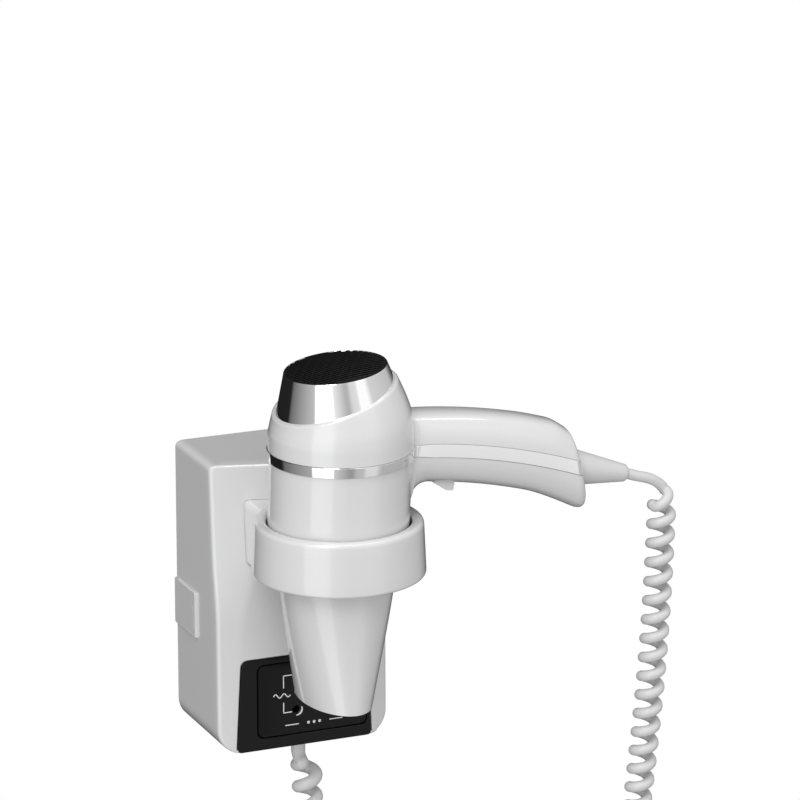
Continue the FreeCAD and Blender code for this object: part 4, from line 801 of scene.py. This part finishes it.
def trigger():
    """The wedge key under the handle, with its flange inside the shell."""
    x, z, fall = spine(TRIGGER_AT)

    def prism(outline, half, trims):
        loop = rounded(outline, trims, arc=5, side=1)
        rows = [stacked(x + loop[:, 0] * math.cos(fall) + loop[:, 1] * math.sin(fall), AXIS_Y + y,
                        z - loop[:, 0] * math.sin(fall) + loop[:, 1] * math.cos(fall)) for y in (-half, half)]
        return solid(lean(np.stack(rows)))

    key = prism([(-6, -16.8), (-6, -20.9), (1.8, -24.7), (6, -24.7), (6, -16.8)], TRIGGER_HALF_W,
                [0.1, 1.2, 1.5, 0.9, 0.1])
    flange = prism([(-7.5, -17.8), (7.5, -17.8), (7.5, -16.4), (-7.5, -16.4)], 4.3, [0.2] * 4)
    return show(fresh("trigger", *merged([key, flange])), "white_shell", "trigger", ["trigger"],
                bevel=0.4, angle=50.0)


def trigger_spring():
    """The trigger's return spring, wound between the key's flange and the switch."""
    x, z, fall = spine(TRIGGER_AT)
    low, high, radius, wire, turns, press = -16.2, -7.25, 2.3, 0.3, 6, 2.5
    share = np.linspace(0, 1, 24 * turns + 1)[:, None]
    angle, round_wire = share * turns * 2 * math.pi, np.linspace(0, 2 * math.pi, 10, endpoint=False)[None]
    reach = radius + wire * np.cos(round_wire)
    height = low + wire + (high - low - 2 * wire) * share + wire * np.sin(round_wire)

    def placed(across, aside, up):
        return lean(stacked(x + across * math.cos(fall) + up * math.sin(fall), AXIS_Y + aside,
                            z - across * math.sin(fall) + up * math.cos(fall)))

    obj = fresh("trigger spring", *solid(placed(reach * np.cos(angle), reach * np.sin(angle), height)))
    show(obj, "steel", "handset", ["trigger_spring"], angle=60.0)
    foot, top = (placed(*(np.full(1, v) for v in (0.0, 0.0, end)))[0] * MM for end in (low, high))
    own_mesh(obj)
    return obj


# ---- handset: air intake ----
def on_cap(points):
    """Points drawn about the intake's axis, (x, y, rise), placed on the tilted intake."""
    x, y, h = np.moveaxis(np.asarray(points, float), -1, 0)
    c, s = math.cos(TILT), math.sin(TILT)
    return lean(stacked(x * c - h * s, AXIS_Y + y, CAP_Z + x * s + h * c))


def inlet_collar():
    """The polished tapered collar with an eased rim, its foot hidden inside the shell's lip."""
    profile = [(37.4 - 0.29 * 3, 3.0)] + [(36.6 - 0.29 * h, h) for h in np.linspace(4, CAP_H - 1.0, 24)]
    top = 36.6 - 0.29 * CAP_H
    profile += [(top + 0.12, CAP_H - 0.4), (top - 0.05, CAP_H - 0.08), (top - 0.25, CAP_H), (top - 0.7, CAP_H),
                (top - 0.8, CAP_H - 0.2), (top - 0.8, CAP_H - 3.4), (top - 2.6, CAP_H - 3.6), (33.8, 3.0)]
    grid = on_cap(lathe(profile, (0, 0, 0), turns=192))
    return show(fresh("inlet collar", *solid(grid, wrap_rows=True)), "polished_trim", "handset",
                ["inlet_collar"], angle=14.0)


def inlet_grille():
    """The domed black grille: a dished plate under a lattice of raised ribs that end in a scalloped rim."""
    radius = 36.6 - 0.29 * CAP_H - 0.85

    def dome(r):
        return CAP_H + 0.2 + 1.7 * (1 - (r / radius) ** 2)

    rs = np.linspace(0.02, 1, 20) * radius
    plate = [(r, float(dome(r)) - 1.0) for r in rs] + [(radius, CAP_H - 3.2), (0.02, CAP_H - 3.2)]
    parts = [solid(on_cap(lathe(plate, (0, 0, 0), turns=96)))]
    for turn, pitch, width, lift in ((0.0, 2.6, 1.25, 0.0), (58.0, 5.2, 0.9, -0.25)):
        count = int(radius / pitch)
        c, s = math.cos(math.radians(turn)), math.sin(math.radians(turn))
        for row in range(-count, count + 1):
            across = row * pitch
            reach = math.sqrt(max(radius ** 2 - across ** 2, 4.0)) - 0.35
            along = np.linspace(-reach, reach, 25)[:, None]
            section = np.array([(-width / 2, -1.3), (-width / 2, -0.25), (-width / 4, -0.02), (width / 4, -0.02),
                                (width / 2, -0.25), (width / 2, -1.3)])
            side = across + section[:, 0][None]
            rise = dome(np.hypot(along, side)) + lift + section[:, 1][None]
            parts.append(solid(on_cap(stacked(along * c - side * s, along * s + side * c, rise))))
    return show(fresh("inlet grille", *merged(parts)), "black_plastic", "handset", ["inlet_grille"], angle=50.0)


# ---- nozzle ----
def concentrator_nozzle():
    """The nozzle: ovals that go from round at the barrel to flat at the mouth, with a sleeve inside the barrel."""
    share = np.linspace(0, 1, 60)
    theta = np.linspace(0, 2 * math.pi, 192, endpoint=False)[None]

    def oval(share, grow, height):
        ease = share ** 1.15
        return stacked((NOZZLE_R + (OUTLET_X - NOZZLE_R) * ease + grow)[:, None] * np.cos(theta),
                       AXIS_Y + (NOZZLE_R + (OUTLET_Y - NOZZLE_R) * ease + grow)[:, None] * np.sin(theta),
                       height[:, None])

    height = NOZZLE_TOP + (NOZZLE_TIP - NOZZLE_TOP) * share
    outer, inner = oval(share, 0.0, height), oval(share, -2.0, height)
    sleeve = np.array([(27.5, 28.0), (28.0, 36.7), (30.2, 36.7), (30.5, 36.3), (30.5, 27.9), (30.9, 27.7)])[::-1]
    outer = np.concatenate([stacked(r * np.cos(theta), AXIS_Y + r * np.sin(theta), z)
                            for r, z in [(30.2, 36.7), (30.5, 36.3), (30.5, 28.0)]] + [outer])
    inner = np.concatenate([stacked(r * np.cos(theta), AXIS_Y + r * np.sin(theta), z)
                            for r, z in [(28.5, 36.7), (28.5, 36.3), (28.5, 28.0)]] + [inner])
    grids = [lean(g) for g in (outer, inner)]
    return show(fresh("concentrator nozzle", *sheet(*grids, wrap=True)), "white_shell", "nozzle",
                ["concentrator_nozzle"], bevel=0.6, angle=40.0)


# ---- cord ----
def cord():
    """One wire from the strain relief, through the coil, to the gland.

    A smooth route is read from a curve with the CAD points as its controls. The coil winds round that route:
    its centreline is the route plus a radius turned by an angle that grows with the distance over the pitch.
    """
    tip = lean(relief_axis(RELIEF_L - 2.0)[0])
    route = np.array([tuple(tip)] + LEAD + COIL)
    data = bpy.data.curves.new("cord route", "CURVE")
    data.dimensions, data.resolution_u = "3D", 48
    spline = data.splines.new("NURBS")
    spline.points.add(len(route) - 1)
    spline.points.foreach_set("co", np.hstack([route, np.ones((len(route), 1))]).ravel())
    spline.order_u, spline.use_endpoint_u = 3, True
    holder = bpy.data.objects.new("cord route", data)
    bpy.context.scene.collection.objects.link(holder)
    mesh = bpy.data.meshes.new_from_object(holder)
    line = np.empty(len(mesh.vertices) * 3)
    mesh.vertices.foreach_get("co", line)
    line = line.reshape(-1, 3)
    bpy.data.objects.remove(holder)
    gone = np.concatenate([[0], np.cumsum(np.linalg.norm(np.diff(line, axis=0), axis=1))])
    total = gone[-1]
    start, pause = 28.0, 20.0
    s = np.concatenate([np.linspace(0, start, 60)[:-1], np.linspace(start, total, 2600)])
    axis = np.stack([np.interp(s, gone, line[:, k]) for k in range(3)], -1)
    tangent = np.gradient(axis, s, axis=0)
    tangent /= np.linalg.norm(tangent, axis=1, keepdims=True)
    level = np.array([-0.35, 0.937, 0.0])
    side = level - (tangent @ level)[:, None] * tangent
    side /= np.linalg.norm(side, axis=1, keepdims=True)
    other = np.cross(tangent, side)
    done = np.clip((s - start) / (total - start), 0, 1)
    pitch = smooth(done, [0, 0.05, 0.6, 0.75, 1.0], [11.0, 11.2, 10.7, 12.0, 13.0])
    wound = 2 * math.pi * np.concatenate([[0], np.cumsum(np.diff(s) / ((pitch[1:] + pitch[:-1]) / 2))])
    wound -= np.interp(start, s, wound)
    wound = np.maximum(wound, 0)
    wound *= round(wound[-1] / (2 * math.pi)) * 2 * math.pi / wound[-1]
    phase = math.pi / 2 + wound
    grown = np.clip((s - start + pause) / (pause + 5.0), 0, 1)
    radius = (COIL_D - CORD_D) / 2 * grown ** 2 * (3 - 2 * grown)
    radial = np.cos(phase)[:, None] * side + np.sin(phase)[:, None] * other
    path = axis + radius[:, None] * radial
    rise = np.linspace(0, 1, 31)[1:, None]
    gland = np.array(GLAND) + (0, 0, 2.0)
    last, heading = path[-1], path[-1] - path[-2]
    onward = last + heading * 6.0 / np.linalg.norm(heading)
    below = gland - (0, 0, 7.0)
    lead_out = ((1 - rise) ** 3 * last + 3 * rise * (1 - rise) ** 2 * onward + 3 * rise ** 2 * (1 - rise) * below
                + rise ** 3 * gland)
    path = np.concatenate([path, lead_out])
    guide = np.concatenate([radial, np.repeat(radial[-1:], len(rise), 0)])
    along = np.gradient(path, axis=0)
    along /= np.linalg.norm(along, axis=1, keepdims=True)
    first = guide - (guide * along).sum(1, keepdims=True) * along
    first /= np.linalg.norm(first, axis=1, keepdims=True)
    second = np.cross(along, first)
    length = np.concatenate([[0], np.cumsum(np.linalg.norm(np.diff(path, axis=0), axis=1))])
    left = length[-1] - length
    thick = CORD_D / 2 + 0.9 * (1 - np.clip(left / 110.0, 0, 1)) ** 1.0
    turn = np.linspace(0, 2 * math.pi, 14, endpoint=False)[None, :, None]
    grid = path[:, None] + thick[:, None, None] * (np.cos(turn) * first[:, None] + np.sin(turn) * second[:, None])
    obj = fresh("curly cord", *solid(grid))
    show(obj, "cord_grey", None, ["cord_handset_lead", "cord_coil_handset", "cord_coil_wall", "cord_wall_lead"],
         angle=60.0)
    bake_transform(obj)
    print("cord length", round(float(length[-1])), "axis", round(total), "turns", round(wound[-1] / 2 / math.pi, 1))
    return obj


# ---- light and camera ----
def studio():
    """A white room for the camera, and for light and reflections soft panels with dark gaps round the object."""
    world = bpy.data.worlds.new("studio")
    bpy.context.scene.world = world
    world.use_nodes = True
    tree = world.node_tree
    tree.nodes.clear()
    way = node(tree, "ShaderNodeTexCoord").outputs["Generated"]
    turned = node(tree, "ShaderNodeVectorRotate", {"Vector": way, "Angle": math.radians(21.45)},
                  rotation_type="Z_AXIS")
    parts = node(tree, "ShaderNodeSeparateXYZ", {0: turned.outputs[0]})
    ahead = node(tree, "ShaderNodeMath", {0: parts.outputs["Y"], 1: -1.0}, operation="MULTIPLY")
    turn = node(tree, "ShaderNodeMath", {0: parts.outputs["X"], 1: ahead.outputs[0]}, operation="ARCTAN2")
    share = node(tree, "ShaderNodeMath", {0: turn.outputs[0], 1: 0.5 / math.pi, 2: 0.5}, operation="MULTIPLY_ADD")
    soft = [(0.0, 0.1), (0.18, 0.2), (0.225, 0.6), (0.35, 0.95), (0.375, 1.2), (0.47, 1.15), (0.565, 0.95),
            (0.635, 0.66), (0.825, 0.6), (0.86, 0.3), (0.915, 0.1), (1.0, 0.1)]
    sharp = [(0.0, 0.02), (0.20, 0.02), (0.22, 0.2), (0.366, 0.62), (0.372, 2.4), (0.462, 2.4), (0.468, 0.95),
             (0.535, 0.5), (0.55, 0.5), (0.57, 0.75), (0.60, 0.8), (0.615, 1.1), (0.66, 1.1), (0.69, 0.7),
             (0.86, 0.6), (0.90, 0.25), (0.94, 0.05), (1.0, 0.02)]
    ramps = []
    for stops in (soft, sharp):
        bands = node(tree, "ShaderNodeValToRGB", {0: share.outputs[0]})
        elements = bands.color_ramp.elements
        while len(elements) < len(stops):
            elements.new(0.5)
        for element, (place, value) in zip(elements, stops):
            element.position, element.color = place, (value, value, value, 1)
        ramps.append(bands.outputs[0])
    path = node(tree, "ShaderNodeLightPath")
    chosen = node(tree, "ShaderNodeMix", data_type="RGBA")
    tree.links.new(path.outputs["Is Glossy Ray"], chosen.inputs["Factor"])
    tree.links.new(ramps[0], chosen.inputs["A"])
    tree.links.new(ramps[1], chosen.inputs["B"])
    height = node(tree, "ShaderNodeMapRange", {"Value": parts.outputs["Z"], "From Min": -0.7, "From Max": 0.9,
                                               "To Min": 0.55, "To Max": 1.25})
    light = node(tree, "ShaderNodeVectorMath", {0: chosen.outputs["Result"], 1: height.outputs[0]}, operation="MULTIPLY")
    room = node(tree, "ShaderNodeBackground", {"Color": light.outputs[0], "Strength": 1.0})
    white = node(tree, "ShaderNodeBackground", {"Color": (1, 1, 1, 1), "Strength": 1.0})
    mix = node(tree, "ShaderNodeMixShader", {0: path.outputs["Is Camera Ray"], 1: room.outputs[0],
                                             2: white.outputs[0]})
    out = node(tree, "ShaderNodeOutputWorld")
    tree.links.new(mix.outputs[0], out.inputs["Surface"])


def area_light(name, at, aim, size, power):
    """A soft panel that faces a point, places in metres."""
    data = bpy.data.lights.new(name, "AREA")
    data.shape, data.size, data.size_y, data.energy = "RECTANGLE", size[0], size[1], power
    obj = bpy.data.objects.new(name, data)
    bpy.context.scene.collection.objects.link(obj)
    obj.location = at
    from mathutils import Vector
    obj.rotation_euler = (Vector(aim) - Vector(at)).to_track_quat("-Z", "Y").to_euler()
    return obj


def camera():
    """The view: slightly from the left and above, with a long lens."""
    data = bpy.data.cameras.new("camera")
    data.lens, data.sensor_width = 225.0, 36.0
    obj = bpy.data.objects.new("camera", data)
    bpy.context.scene.collection.objects.link(obj)
    obj.location = (-0.9681, -2.4638, 0.8871)
    obj.rotation_euler = (math.radians(90 - 16.59), 0, math.radians(-23.13))
    bpy.context.scene.camera = obj


def build():
    """Every piece, then light and camera."""
    finish_cad_nodes()
    wall_housing()
    side_pads()
    socket_panel()
    socket_insert()
    socket_marks()
    wall_gland()
    holder_ring()
    shells()
    trim_band()
    handle_strip(1, "handle_trim_front")
    handle_strip(-1, "handle_trim_back")
    strain_relief()
    trigger()
    trigger_spring()
    inlet_collar()
    inlet_grille()
    concentrator_nozzle()
    cord()
    studio()
    area_light("key", (-1.2, -1.6, 1.6), (0.03, -0.09, 0.0), (0.9, 0.9), 10.0)
    area_light("top", (0.1, -0.35, 1.1), (0.05, -0.1, 0.05), (1.4, 0.10), 3.0)
    camera()
    settings = bpy.context.scene.view_settings
    settings.view_transform, settings.look = "Standard", "None"


build()
